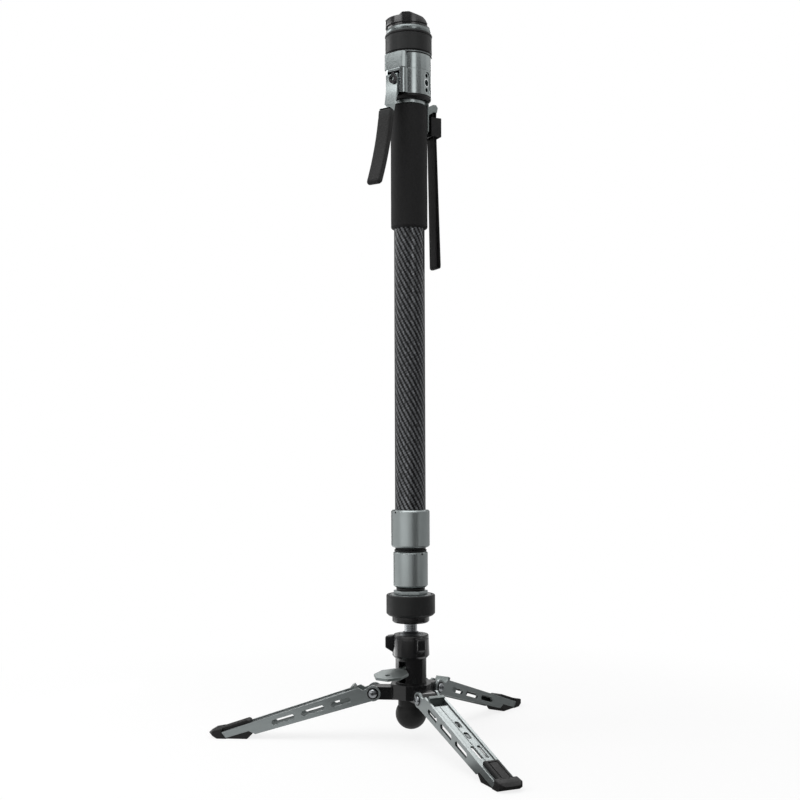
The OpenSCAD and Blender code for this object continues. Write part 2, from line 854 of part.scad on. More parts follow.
module pedal() {
    half = pedal_w / 2;
    c = pedal_cut;
    long = pedal_reach - plate_in;
    color(grey_alloy) difference() {
        union() {
            translate([-neck_w / 2, -plate_in - 2, pedal_z - pedal_t / 2])
                cube([neck_w, plate_in + 1, pedal_t]);
            translate([0, -plate_in, pedal_z]) rotate([pedal_tilt, 0, 0]) difference() {
                translate([0, 0, -pedal_t / 2]) linear_extrude(pedal_t)
                    polygon([[-half + c, 0], [half - c, 0], [half, -c], [half, c - long], [half - c, -long],
                        [-half + c, -long], [-half, c - long], [-half, -c]]);
                translate([0, 11 - long, 0]) cylinder(r = 2.75, h = 2 * pedal_t, center = true);
            }
        }
        translate([0, -pedal_pin_d, pedal_z]) rotate([0, 90, 0])
            cylinder(r = pedal_pin_r + run_gap, h = 3 * slot_w, center = true);
    }
    color(grey_alloy) translate([0, -pedal_pin_d, pedal_z]) rotate([0, 90, 0]) difference() {
        cylinder(r = pedal_pin_r + 1.4, h = neck_w, center = true);
        cylinder(r = pedal_pin_r + run_gap, h = 3 * slot_w, center = true);
    }
}

module pedal_pin() {
    color(steel) translate([0, -pedal_pin_d, pedal_z]) rotate([0, 90, 0])
        cylinder(r = pedal_pin_r, h = 24, center = true);
}

module brake_plunger() {
    z0 = pedal_z + pedal_t / 2 + 0.3;
    color(steel) translate([0, 0, z0]) cylinder(r = plunger_r, h = seat_floor - 1.8 - z0);
}

// Hub, ball foot and legs

module hub() {
    flat = hub_r - 1.2;
    color(black_alloy) difference() {
        union() {
            translate([0, 0, hub_up]) linear_extrude(hub_h) intersection() {
                circle(r = hub_r);
                circle(r = flat / cos(30), $fn = 6);
            }
            for (a = leg_az) rotate(a) {
                translate([0, -arm_w / 2, z_hinge - arm_r]) cube([hinge_rad, arm_w, 2 * arm_r]);
                translate([hinge_rad, 0, z_hinge]) rotate([90, 0, 0])
                    cylinder(r = arm_r, h = arm_w, center = true);
            }
        }
        for (a = leg_az) rotate(a) translate([hinge_rad, 0, z_hinge]) rotate([90, 0, 0])
            cylinder(r = screw_r, h = leg_w, center = true);
        translate([0, 0, -over]) cylinder(r = foot_neck_r, h = hub_up + over);
    }
}

module ball_foot() {
    color(rubber) union() {
        translate([0, 0, foot_ball_up]) sphere(r = foot_ball_r);
        translate([0, 0, foot_ball_up]) cylinder(r = foot_neck_r, h = hub_up - foot_ball_up);
    }
}

module leg_hinge_screws() {
    reach = leg_w / 2 + side_gap;
    color(steel) for (a = leg_az) rotate(a) translate([hinge_rad, 0, z_hinge]) rotate([90, 0, 0]) union() {
        cylinder(r = screw_r, h = 2 * reach + over, center = true);
        for (s = [0, 1]) mirror([0, 0, s]) translate([0, 0, reach]) difference() {
            cylinder(r1 = head_sw_r, r2 = head_sw_r - 1.4, h = head_sw_h);
            translate([0, 0, head_sw_h - 1.4]) cylinder(r = 1.7, h = 2, $fn = 6);
        }
    }
}

// Puts a leg drawn along +X from its hinge into place at compass angle a
module at_leg(a) {
    rotate(a) translate([hinge_rad, 0, z_hinge]) rotate([0, leg_slope, 0]) children();
}

module side_slot(u0, u1) {
    mid = 1.2;
    half = 2.5;
    bevel = 1.8;
    across(2 * leg_w) polygon([[u0, mid], [u0 + bevel, mid + half], [u1 - bevel, mid + half],
        [u1, mid], [u1 - bevel, mid - half], [u0 + bevel, mid - half]]);
}

// A slot with round ends through the top web
module web_slot(u0, u1, w, d) {
    translate([0, w, 0]) linear_extrude(2 * eye_r) union() {
        for (u = [u0 + d / 2, u1 - d / 2]) translate([u, 0]) circle(r = d / 2);
        translate([u0 + d / 2, -d / 2]) square([u1 - u0 - d, d]);
    }
}

module leg_solid() {
    far = leg_len + 10;
    tall = 20;
    difference() {
        across(leg_w) union() {
            circle(r = eye_r);
            polygon([[0, -7.15], [step_u, -5.06], [narrow_u, 0], [tip_u, 0], [leg_len, leg_top(leg_len)],
                [13, leg_top(13)], [9.5, 6.2], [0, 6.2]]);
        }
        across(channel_w) polygon([[-tall, -tall], [far, -tall], [far, leg_top(far) - web_drop - web_t],
            [web_from, leg_top(web_from) - web_drop - web_t], [web_from, tall], [-tall, tall]]);
        across(leg_w - 2 * rail_w) polygon([[web_from - over, leg_top(web_from - over) - web_drop],
            [far, leg_top(far) - web_drop], [far, tall], [web_from - over, tall]]);
        rotate([90, 0, 0]) cylinder(r = screw_r + run_gap, h = 2 * leg_w, center = true);
        for (s = [[24, 46], [53, 79], [86, 112]]) side_slot(s[0], s[1]);
        for (s = [[60, 72], [80, 92]]) web_slot(s[0], s[1], hole_side, 5);
        for (w = [-slot_side, slot_side]) web_slot(104, step_u - 6, w, 3);
    }
}

// Low rib along the web, beside the holes
module leg_rib() {
    sunk = 0.3;
    rise = 0.4;
    to = leg_len - cap_l - over;
    translate([0, hole_side - 3.2, 0]) across(0.7) polygon([
        [web_from + 1, leg_top(web_from + 1) - web_drop - sunk], [to, leg_top(to) - web_drop - sunk],
        [to, leg_top(to) - web_drop + rise], [web_from + 1, leg_top(web_from + 1) - web_drop + rise]]);
}

module leg(a) {
    color(grey_alloy) at_leg(a) union() {
        leg_solid();
        leg_rib();
    }
}
module leg_back() { leg(leg_az[0]); }
module leg_left() { leg(leg_az[1]); }
module leg_right() { leg(leg_az[2]); }

// Rubber foot: a flat sole under the leg's tip, a blunt nose and a cap on the web
module foot(a) {
    sole_in = tip_x - 26;
    sole_out = tip_x + 6.5;
    cap_rise = 3.7;
    cap_u = leg_len - cap_l;
    mid = 3.5;
    corner = 5;
    nose_x = sole_out + 9.5;
    half = nose_w / 2;
    color(rubber) difference() {
        union() {
            rotate(a) across(leg_w) polygon([[sole_in - 6, 6.1], [sole_in, 0], [sole_out, 0],
                [sole_out, mid + 2], [tip_x + 1, mid], [sole_in - 3, 10]]);
            at_leg(a) across(channel_w - 2) polygon([
                [cap_u, leg_top(cap_u) - web_drop], [leg_len + 5, leg_top(leg_len) - web_drop - 3],
                [leg_len + 5, leg_top(leg_len) + cap_rise - 0.6], [leg_len + 3, leg_top(leg_len) + cap_rise],
                [cap_u + 2, leg_top(cap_u) + cap_rise], [cap_u, leg_top(cap_u) + cap_rise - 2]]);
            intersection() {
                rotate(a) across(nose_w) polygon([[tip_x - 4, 0], [sole_out, 0], [nose_x, 5.8],
                    [sole_out + 4, 9.4], [tip_x + 1, 11.4], [tip_x + 1, 6]]);
                rotate(a) linear_extrude(40) polygon([[tip_x - 10, -half], [nose_x - corner, -half],
                    [nose_x, corner - half], [nose_x, half - corner], [nose_x - corner, half],
                    [tip_x - 10, half]]);
            }
        }
        at_leg(a) leg_solid();
    }
}
module foot_back() { foot(leg_az[0]); }
module foot_left() { foot(leg_az[1]); }
module foot_right() { foot(leg_az[2]); }

// Sliding catch inside the leg's channel, with a thumb tab in the window
module catch(a) {
    nose = arm_r + 0.6;
    floor_v = -1;
    color(silver_alloy) at_leg(a) union() {
        across(catch_w) polygon([[nose, floor_v], [36, floor_v], [36, 3.6], [nose + 1, 3.6]]);
        across(catch_w) polygon([[14, 3], [19, 3], [21, 12.8], [17.5, 13.4]]);
    }
}
module catch_back() { catch(leg_az[0]); }
module catch_left() { catch(leg_az[1]); }
module catch_right() { catch(leg_az[2]); }

top_crown();
top_trim_ring();
top_ring_core();
top_ring_rubber();
clutch_jaw_1();
clutch_jaw_2();
clutch_jaw_3();
top_lower_trim();
head_upper_housing();
head_lower_housing();
accessory_insert();
lever_arm();
lever_grip();
lever_pin();
lever_catch();
release_rod();
head_seal_ring();
neck_collar();
foam_grip();
strap_lug();
strap_buckle();
strap_loop();
outer_tube();
upper_collar();
upper_collet();
upper_wiper();
middle_tube();
middle_bush();
lower_collar();
lower_collet();
lower_gasket();
inner_tube();
inner_bush();
tube_plug();
plug_seal();
base_ring_core();
base_ring_rubber();
base_socket();
ball_stud();
ball_dome();
wing_collar();
column();
ball_seat();
pedal();
pedal_pin();
brake_plunger();
hub();
ball_foot();
leg_hinge_screws();
leg_back();
leg_left();
leg_right();
foot_back();
foot_left();
foot_right();
catch_back();
catch_left();
catch_right();
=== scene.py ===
import bpy
import bmesh
import json
import math
from mathutils import Matrix, Quaternion, Vector, noise


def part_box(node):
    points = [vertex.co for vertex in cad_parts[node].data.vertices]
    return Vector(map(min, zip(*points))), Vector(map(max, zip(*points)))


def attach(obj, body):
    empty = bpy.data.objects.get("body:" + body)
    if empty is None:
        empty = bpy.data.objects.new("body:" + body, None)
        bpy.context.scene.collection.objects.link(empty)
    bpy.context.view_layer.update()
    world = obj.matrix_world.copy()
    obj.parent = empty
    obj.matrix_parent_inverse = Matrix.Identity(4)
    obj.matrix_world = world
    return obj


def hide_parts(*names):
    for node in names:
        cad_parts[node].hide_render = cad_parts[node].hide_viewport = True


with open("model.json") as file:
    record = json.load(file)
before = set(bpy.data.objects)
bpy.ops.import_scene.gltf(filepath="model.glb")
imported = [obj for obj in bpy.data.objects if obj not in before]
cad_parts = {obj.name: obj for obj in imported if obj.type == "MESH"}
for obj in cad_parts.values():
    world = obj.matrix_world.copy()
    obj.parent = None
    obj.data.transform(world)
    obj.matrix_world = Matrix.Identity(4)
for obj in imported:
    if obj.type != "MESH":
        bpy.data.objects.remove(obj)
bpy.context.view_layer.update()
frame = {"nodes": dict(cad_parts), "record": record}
nodes = frame["nodes"]
scene = bpy.context.scene
scene.view_settings.view_transform = "Standard"
mm = 0.001

# Camera: level, a little below the middle of the pole
cameraSet = {
    "azimuth": 35.5, "distance": 1.255, "height": 0.3054, "sideways": 0.0106, "roll": -0.22,
    "lens": 54, "sensor": 36, "shiftUp": 0.06,
}


def aroundPole(angle, reach, height):   # a point round the pole, angle in degrees from the front to the right
    turn = math.radians(angle)
    return Vector((reach * math.sin(turn), -reach * math.cos(turn), height))


lens = bpy.data.cameras.new("camera")
lens.lens = cameraSet["lens"]
lens.sensor_width = cameraSet["sensor"]
lens.shift_y = cameraSet["shiftUp"]
camera = bpy.data.objects.new("camera", lens)
lookBack = aroundPole(cameraSet["azimuth"], 1, 0)
toRight = aroundPole(cameraSet["azimuth"] + 90, 1, 0)
camera.location = aroundPole(cameraSet["azimuth"], cameraSet["distance"], cameraSet["height"])
camera.location -= toRight * cameraSet["sideways"]
level = (-lookBack).to_track_quat("-Z", "Y")
camera.rotation_euler = (level @ Quaternion((0, 0, 1), math.radians(cameraSet["roll"]))).to_euler()
scene.collection.objects.link(camera)
scene.camera = camera
print("camera placed")


# Small tools for materials

def hexColor(code):   # sRGB hex to linear
    parts = [int(code[i:i + 2], 16) / 255 for i in (1, 3, 5)]
    return tuple(c / 12.92 if c <= 0.04045 else ((c + 0.055) / 1.055) ** 2.4 for c in parts) + (1.0,)


def scaleFor(size):   # texture scale whose features are about this many millimetres
    return 1 / (size * mm)


def addNode(tree, kind, settings={}, inputs={}):   # a node with its settings, values and links
    node = tree.nodes.new("ShaderNode" + kind)
    for key, value in settings.items():
        setattr(node, key, value)
    for key, value in inputs.items():
        if isinstance(value, bpy.types.NodeSocket):
            tree.links.new(value, node.inputs[key])
        else:
            node.inputs[key].default_value = value
    return node


def newMaterial(name):
    material = bpy.data.materials.new(name)
    material.use_nodes = True
    material.node_tree.nodes.clear()
    return material, material.node_tree


# Materials

def blastedAlloy(name, look):
    # Bead-blasted anodised aluminium: broad soft highlights, a fine grain and faint clouding
    material, tree = newMaterial(name)
    place = addNode(tree, "TexCoord").outputs["Object"]
    grain = addNode(tree, "TexNoise", {}, {"Vector": place, "Scale": scaleFor(look["grain"]), "Detail": 2.0})
    cloud = addNode(tree, "TexNoise", {}, {"Vector": place, "Scale": scaleFor(18), "Detail": 3.0})
    tone = addNode(tree, "Mix", {"data_type": "RGBA"}, {
        0: cloud.outputs["Fac"], 6: hexColor(look["dark"]), 7: hexColor(look["light"])})
    rough = addNode(tree, "MapRange", {}, {
        "Value": grain.outputs["Fac"], "From Min": 0.3, "From Max": 0.7,
        "To Min": look["rough"] - 0.05, "To Max": look["rough"] + 0.05})
    bump = addNode(tree, "Bump", {}, {
        "Strength": look["bump"], "Distance": 0.05 * mm, "Height": grain.outputs["Fac"]})
    shader = addNode(tree, "BsdfPrincipled", {}, {
        "Base Color": tone.outputs[2], "Metallic": look["metal"], "Roughness": rough.outputs["Result"],
        "Specular IOR Level": look["shine"], "Normal": bump.outputs["Normal"]})
    addNode(tree, "OutputMaterial", {}, {"Surface": shader.outputs["BSDF"]})
    return material


def turnedAlloy(name, look):
    # Turned metal: fine tool rings round the axis stretch the highlight up and down
    material, tree = newMaterial(name)
    place = addNode(tree, "TexCoord").outputs["Object"]
    flat = addNode(tree, "Mapping", {}, {"Vector": place, "Scale": (0.02, 0.02, 1)})   # noise drawn to rings
    rings = addNode(tree, "TexNoise", {}, {
        "Vector": flat.outputs["Vector"], "Scale": scaleFor(look["ring"]), "Detail": 3.0})
    tone = addNode(tree, "Mix", {"data_type": "RGBA"}, {
        0: rings.outputs["Fac"], 6: hexColor(look["dark"]), 7: hexColor(look["light"])})
    rough = addNode(tree, "MapRange", {}, {
        "Value": rings.outputs["Fac"], "From Min": 0.3, "From Max": 0.7,
        "To Min": look["rough"] - 0.04, "To Max": look["rough"] + 0.06})
    bump = addNode(tree, "Bump", {}, {
        "Strength": 0.12, "Distance": 0.03 * mm, "Height": rings.outputs["Fac"]})
    shader = addNode(tree, "BsdfPrincipled", {}, {
        "Base Color": tone.outputs[2], "Metallic": 1.0, "Roughness": rough.outputs["Result"],
        "Normal": bump.outputs["Normal"]})
    addNode(tree, "OutputMaterial", {}, {"Surface": shader.outputs["BSDF"]})
    return material


def drawnAlloy(name, look):
    # Extruded and anodised aluminium: faint lines along the leg, which its UV map follows, and painted shade
    # that darkens its hollows
    material, tree = newMaterial(name)
    place = addNode(tree, "TexCoord")
    along = addNode(tree, "Mapping", {}, {"Vector": place.outputs["UV"], "Scale": (0.03, 1, 1)})
    lines = addNode(tree, "TexNoise", {}, {
        "Vector": along.outputs["Vector"], "Scale": 1 / look["line"], "Detail": 3.0})
    grain = addNode(tree, "TexNoise", {}, {
        "Vector": place.outputs["Object"], "Scale": scaleFor(look["grain"]), "Detail": 2.0})
    tone = addNode(tree, "Mix", {"data_type": "RGBA"}, {
        0: lines.outputs["Fac"], 6: hexColor(look["dark"]), 7: hexColor(look["light"])})
    # Painted shade: ambient occlusion darkens the colour in the leg's hollows, within this reach
    paintedShade = addNode(tree, "AmbientOcclusion", {"only_local": True, "samples": 8}, {
        "Color": tone.outputs[2], "Distance": look["paintedShade"] * mm})
    rough = addNode(tree, "MapRange", {}, {
        "Value": grain.outputs["Fac"], "From Min": 0.3, "From Max": 0.7,
        "To Min": look["rough"] - 0.05, "To Max": look["rough"] + 0.07})
    bump = addNode(tree, "Bump", {}, {
        "Strength": 0.10, "Distance": 0.05 * mm, "Height": lines.outputs["Fac"]})
    shader = addNode(tree, "BsdfPrincipled", {}, {
        "Base Color": paintedShade.outputs["Color"], "Metallic": look["metal"],
        "Roughness": rough.outputs["Result"], "Normal": bump.outputs["Normal"]})
    addNode(tree, "OutputMaterial", {}, {"Surface": shader.outputs["BSDF"]})
    return material


def pittedSkin(name, look):
    # Rubber or plastic from a spark-eroded mould, or a black oxide coat: a dull skin with fine pits
    material, tree = newMaterial(name)
    place = addNode(tree, "TexCoord").outputs["Object"]
    pits = addNode(tree, "TexVoronoi", {"feature": "SMOOTH_F1"}, {
        "Vector": place, "Scale": scaleFor(look["pit"]), "Smoothness": 0.6})
    cloud = addNode(tree, "TexNoise", {}, {"Vector": place, "Scale": scaleFor(9), "Detail": 4.0})
    tone = addNode(tree, "Mix", {"data_type": "RGBA"}, {
        0: cloud.outputs["Fac"], 6: hexColor(look["dark"]), 7: hexColor(look["light"])})
    rough = addNode(tree, "MapRange", {}, {
        "Value": cloud.outputs["Fac"], "From Min": 0.3, "From Max": 0.7,
        "To Min": look["rough"] - 0.06, "To Max": look["rough"] + 0.06})
    bump = addNode(tree, "Bump", {}, {
        "Strength": look["bump"], "Distance": look["depth"] * mm, "Height": pits.outputs["Distance"]})
    shader = addNode(tree, "BsdfPrincipled", {}, {
        "Base Color": tone.outputs[2], "Roughness": rough.outputs["Result"], "IOR": 1.5,
        "Specular IOR Level": look["shine"], "Normal": bump.outputs["Normal"]})
    addNode(tree, "OutputMaterial", {}, {"Surface": shader.outputs["BSDF"]})
    return material


def closedCellFoam(look):
    # Closed-cell foam sleeve: cut cells catch light as fine speckle on a nearly matt black
    material, tree = newMaterial("closedCellFoam")
    place = addNode(tree, "TexCoord").outputs["Object"]
    cells = addNode(tree, "TexVoronoi", {}, {"Vector": place, "Scale": scaleFor(look["cell"])})
    swell = addNode(tree, "TexNoise", {}, {
        "Vector": place, "Scale": scaleFor(look["swell"]), "Detail": 5.0})
    tone = addNode(tree, "Mix", {"data_type": "RGBA"}, {
        0: cells.outputs["Distance"], 6: hexColor(look["light"]), 7: hexColor(look["dark"])})
    height = addNode(tree, "Math", {"operation": "MULTIPLY_ADD"}, {
        0: swell.outputs["Fac"], 1: 0.6, 2: cells.outputs["Distance"]})
    bump = addNode(tree, "Bump", {}, {
        "Strength": look["bump"], "Distance": look["depth"] * mm, "Height": height.outputs["Value"]})
    shader = addNode(tree, "BsdfPrincipled", {}, {
        "Base Color": tone.outputs[2], "Roughness": look["rough"], "IOR": 1.45,
        "Specular IOR Level": look["shine"], "Sheen Weight": 0.04, "Sheen Roughness": 0.4,
        "Normal": bump.outputs["Normal"]})
    addNode(tree, "OutputMaterial", {}, {"Surface": shader.outputs["BSDF"]})
    return material


def twillCarbon(look):
    # Two by two twill of carbon tows under a satin lacquer: each tow's shine across its own fibres is painted
    # in, lying tows lighter and upright tows darker
    material, tree = newMaterial("twillCarbon")
    place = addNode(tree, "TexCoord").outputs["Object"]
    axes = addNode(tree, "SeparateXYZ", {}, {"Vector": place})
    angle = addNode(tree, "Math", {"operation": "ARCTAN2"}, {0: axes.outputs["Y"], 1: axes.outputs["X"]})
    column = addNode(tree, "Math", {"operation": "MULTIPLY"}, {
        0: angle.outputs[0], 1: look["columns"] / (2 * math.pi)})
    row = addNode(tree, "Math", {"operation": "MULTIPLY"}, {
        0: axes.outputs["Z"], 1: scaleFor(look["towUp"])})
    columnStep = addNode(tree, "Math", {"operation": "FLOOR"}, {0: column.outputs[0]})
    rowStep = addNode(tree, "Math", {"operation": "FLOOR"}, {0: row.outputs[0]})
    stepSum = addNode(tree, "Math", {"operation": "ADD"}, {0: columnStep.outputs[0], 1: rowStep.outputs[0]})
    phase = addNode(tree, "Math", {"operation": "FLOORED_MODULO"}, {0: stepSum.outputs[0], 1: 4.0})
    upright = addNode(tree, "Math", {"operation": "LESS_THAN"}, {0: phase.outputs[0], 1: 1.5})
    columnPart = addNode(tree, "Math", {"operation": "FRACT"}, {0: column.outputs[0]})
    rowPart = addNode(tree, "Math", {"operation": "FRACT"}, {0: row.outputs[0]})
    across = addNode(tree, "Mix", {"data_type": "FLOAT"}, {
        0: upright.outputs[0], 2: rowPart.outputs[0], 3: columnPart.outputs[0]})
    halfTurn = addNode(tree, "Math", {"operation": "MULTIPLY"}, {0: across.outputs[0], 1: math.pi})
    crown = addNode(tree, "Math", {"operation": "SINE"}, {0: halfTurn.outputs[0]})
    onTube = addNode(tree, "CombineXYZ", {}, {"X": column.outputs[0], "Y": row.outputs[0]})
    fibre = addNode(tree, "TexNoise", {"noise_dimensions": "2D"}, {
        "Vector": onTube.outputs["Vector"], "Scale": look["streaks"], "Detail": 4.0})
    streak = addNode(tree, "MapRange", {}, {
        "Value": fibre.outputs["Fac"], "From Min": 0.32, "From Max": 0.68, "To Min": 0.25, "To Max": 1.0})
    # Painted sheen: lying tows are painted lighter and upright tows darker, for the shine of each tow across
    # its fibres
    paintedSheen = addNode(tree, "Mix", {"data_type": "RGBA"}, {
        0: upright.outputs[0], 6: hexColor(look["lying"]), 7: hexColor(look["upright"])})
    tone = addNode(tree, "Mix", {"data_type": "RGBA", "blend_type": "MULTIPLY"}, {
        0: 1.0, 6: paintedSheen.outputs[2], 7: streak.outputs["Result"]})
    rough = addNode(tree, "MapRange", {}, {
        "Value": upright.outputs[0], "From Min": 0.0, "From Max": 1.0,
        "To Min": look["rough"], "To Max": look["rough"] + 0.12})
    bump = addNode(tree, "Bump", {}, {
        "Strength": 0.35, "Distance": 0.12 * mm, "Height": crown.outputs[0]})
    shader = addNode(tree, "BsdfPrincipled", {}, {
        "Base Color": tone.outputs[2], "Metallic": look["metal"], "Roughness": rough.outputs["Result"],
        "Specular IOR Level": look["shine"], "Coat Weight": look["coat"], "Coat Roughness": 0.2,
        "Normal": bump.outputs["Normal"]})
    addNode(tree, "OutputMaterial", {}, {"Surface": shader.outputs["BSDF"]})
    return material


def wovenWebbing(look):
    # Polyester webbing: a plain weave of flat yarns along the strap's own UV map, with a soft sheen
    wavePeriod = 0.314   # a wave texture's period at a scale of 1
    material, tree = newMaterial("wovenWebbing")
    place = addNode(tree, "TexCoord").outputs["UV"]
    warp = addNode(tree, "TexWave", {"wave_type": "BANDS", "bands_direction": "X"}, {
        "Vector": place, "Scale": wavePeriod / look["yarn"]})
    weft = addNode(tree, "TexWave", {"wave_type": "BANDS", "bands_direction": "Y"}, {
        "Vector": place, "Scale": wavePeriod / look["pick"]})
    weave = addNode(tree, "Math", {"operation": "MULTIPLY"}, {0: warp.outputs["Fac"], 1: weft.outputs["Fac"]})
    tone = addNode(tree, "Mix", {"data_type": "RGBA"}, {
        0: weave.outputs[0], 6: hexColor(look["dark"]), 7: hexColor(look["light"])})
    bump = addNode(tree, "Bump", {}, {
        "Strength": 0.6, "Distance": look["depth"] * mm, "Height": weave.outputs[0]})
    shader = addNode(tree, "BsdfPrincipled", {}, {
        "Base Color": tone.outputs[2], "Roughness": look["rough"], "Specular IOR Level": look["shine"],
        "Sheen Weight": 0.05, "Sheen Roughness": 0.4, "Normal": bump.outputs["Normal"]})
    addNode(tree, "OutputMaterial", {}, {"Surface": shader.outputs["BSDF"]})
    return material


finishes = {   # grain, ring, line, the reach of the painted shade in hollows, pit, cell, swell, tow, yarn, pick and depth are in millimetres
    "headAlloy": blastedAlloy("blastedGreyAlloy", {   # finely blasted: clear upright bands of light
        "dark": "#7e8484", "light": "#898f8f", "rough": 0.2, "metal": 1.0, "shine": 0.5, "grain": 0.6,
        "bump": 0.06}),
    "collarAlloy": blastedAlloy("satinGreyAlloy", {   # satin collars: one broad soft band
        "dark": "#868c8c", "light": "#8f9595", "rough": 0.33, "metal": 1.0, "shine": 0.5, "grain": 0.6,
        "bump": 0.06}),
    "blackAlloy": blastedAlloy("blastedBlackAlloy", {   # black anodised: dark, with thin edge lights
        "dark": "#0e0e0f", "light": "#131314", "rough": 0.2, "metal": 0.0, "shine": 0.42, "grain": 0.6,
        "bump": 0.03}),
    "crownAlloy": blastedAlloy("satinBlackAlloy", {   # glossier black on the machined crown
        "dark": "#0c0c0d", "light": "#101011", "rough": 0.17, "metal": 0.0, "shine": 0.55, "grain": 0.6,
        "bump": 0.03}),
    "trimAlloy": blastedAlloy("satinTrimAlloy", {   # darker grey of the two trim rings
        "dark": "#626767", "light": "#6c7171", "rough": 0.26, "metal": 1.0, "shine": 0.5, "grain": 0.6,
        "bump": 0.04}),
    "domeSteel": turnedAlloy("turnedDarkSteel", {
        "dark": "#85888a", "light": "#969a9c", "rough": 0.34, "ring": 0.5}),
    "oxideSteel": pittedSkin("blackOxideSteel", {   # nearly no highlight
        "dark": "#0a0a0b", "light": "#0f0f10", "pit": 0.6, "bump": 0.06, "depth": 0.04, "rough": 0.4,
        "shine": 0.2}),
    "pedalAlloy": blastedAlloy("tumbledGreyAlloy", {   # tumbled in stones: dull and even
        "dark": "#6f7574", "light": "#7a807f", "rough": 0.42, "metal": 0.9, "shine": 0.5, "grain": 0.8,
        "bump": 0.12}),
    "brightAlloy": turnedAlloy("turnedBrightAlloy", {
        "dark": "#a9aeae", "light": "#c4c8c8", "rough": 0.2, "ring": 0.5}),
    "steel": turnedAlloy("turnedStainless", {
        "dark": "#7a7d80", "light": "#909395", "rough": 0.24, "ring": 0.4}),
    # Leg alloy: its hollows are darkened by painted shade
    "legAlloy": drawnAlloy("drawnGreyAlloy", {
        "dark": "#7d8383", "light": "#8b9191", "rough": 0.34, "metal": 0.85, "line": 0.9, "grain": 0.7,
        "paintedShade": 14}),
    "ringRubber": pittedSkin("ringRubber", {   # smooth moulded sleeves: one faint wide light
        "dark": "#181919", "light": "#1f2020", "pit": 0.7, "bump": 0.12, "depth": 0.05, "rough": 0.44,
        "shine": 0.17}),
    "footRubber": pittedSkin("footRubber", {   # harder and duller
        "dark": "#161616", "light": "#1e1e1e", "pit": 0.9, "bump": 0.2, "depth": 0.08, "rough": 0.52,
        "shine": 0.16}),
    "gripRubber": pittedSkin("pebbledGripRubber", {   # coarse pebbles for the fingers
        "dark": "#121212", "light": "#1b1b1b", "pit": 1.5, "bump": 0.8, "depth": 0.35, "rough": 0.5,
        "shine": 0.15}),
    "foam": closedCellFoam({   # real cells are 0.4 mm, drawn coarser so that they show
        "dark": "#101010", "light": "#1b1b1c", "cell": 1.1, "swell": 6, "bump": 0.5, "depth": 0.25,
        "rough": 0.7, "shine": 0.16}),
    "carbon": twillCarbon({   # tows counted round the tube and measured up it, streaks counted to a tow; lying and upright are painted sheen tones
        "columns": 80, "towUp": 2.2, "streaks": 0.7, "lying": "#6c6e71", "upright": "#0d0d0e", "rough": 0.3,
        "metal": 0.7, "shine": 0.3, "coat": 0.12}),
    "webbing": wovenWebbing({
        "dark": "#0b0b0c", "light": "#1d1d1f", "yarn": 1.3, "pick": 1.0, "depth": 0.2, "rough": 0.75,
        "shine": 0.15}),
    "acetal": pittedSkin("mouldedAcetal", {   # slick plastic of the strap's keeper
        "dark": "#0f0f10", "light": "#151516", "pit": 0.6, "bump": 0.06, "depth": 0.04, "rough": 0.35,
        "shine": 0.25}),
    "nylon": pittedSkin("castNylon", {   # ivory bushes inside the pole
        "dark": "#cfcabd", "light": "#dcd8cc", "pit": 0.8, "bump": 0.06, "depth": 0.04, "rough": 0.45,
        "shine": 0.5}),
}
print("materials made:", len(finishes))


# Small tools for meshes

def ringSize(name):   # bottom, top and outer radius of a turned node, in millimetres
    low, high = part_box(name)
    return low.z / mm, high.z / mm, (high.x - low.x) / 2 / mm


def turned(profile, steps=96):   # a closed profile of radius and height, spun round the pole
    bm = bmesh.new()
    verts = [bm.verts.new((r * mm, 0, z * mm)) for r, z in profile]
    for here, there in zip(verts, verts[1:] + verts[:1]):
        bm.edges.new((here, there))
    bmesh.ops.spin(bm, geom=bm.verts[:] + bm.edges[:], axis=(0, 0, 1), cent=(0, 0, 0), dvec=(0, 0, 0),
                   angle=2 * math.pi, steps=steps, use_merge=True)
    bmesh.ops.remove_doubles(bm, verts=bm.verts[:], dist=0.001 * mm)
    bmesh.ops.recalc_face_normals(bm, faces=bm.faces[:])
    return bm


def cadCopy(name, whole=True):   # the node's shape, merged, and with its flat faces whole
    bm = bmesh.new()
    bm.from_mesh(nodes[name].data)
    bmesh.ops.remove_doubles(bm, verts=bm.verts[:], dist=0.002 * mm)
    if whole:
        bmesh.ops.dissolve_limit(bm, angle_limit=math.radians(0.6), verts=bm.verts[:], edges=bm.edges[:])
    return bm


def soften(bm, width, segments=2, angle=28, clamp=False, least=0):   # rounds outer edges past this angle
    edges = [e for e in bm.edges if len(e.link_faces) == 2 and e.is_convex
             and e.calc_face_angle(0) > math.radians(angle) and e.calc_length() > least * mm]
    bmesh.ops.bevel(bm, geom=edges, offset=width * mm, offset_type="OFFSET", affect="EDGES",
                    segments=segments, profile=0.5, material=-1, clamp_overlap=clamp)


def prism(outline, width):   # an outline of reach and height, pulled to a width across
    bm = bmesh.new()
    face = bm.faces.new([bm.verts.new((x * mm, -width / 2 * mm, z * mm)) for x, z in outline])
    made = bmesh.ops.extrude_face_region(bm, geom=[face])["geom"]
    pulled = [g for g in made if isinstance(g, bmesh.types.BMVert)]
    bmesh.ops.translate(bm, verts=pulled, vec=(0, width * mm, 0))
    bmesh.ops.recalc_face_normals(bm, faces=bm.faces[:])
    return bm


def cornerCut(bm, point, direction):   # takes off what lies beyond a plane and closes the cut
    cut = bmesh.ops.bisect_plane(bm, geom=bm.verts[:] + bm.edges[:] + bm.faces[:], dist=1e-7,
                                 plane_co=point, plane_no=direction, clear_outer=True)["geom_cut"]
    bmesh.ops.holes_fill(bm, edges=[g for g in cut if isinstance(g, bmesh.types.BMEdge)], sides=0)
    bmesh.ops.recalc_face_normals(bm, faces=bm.faces[:])


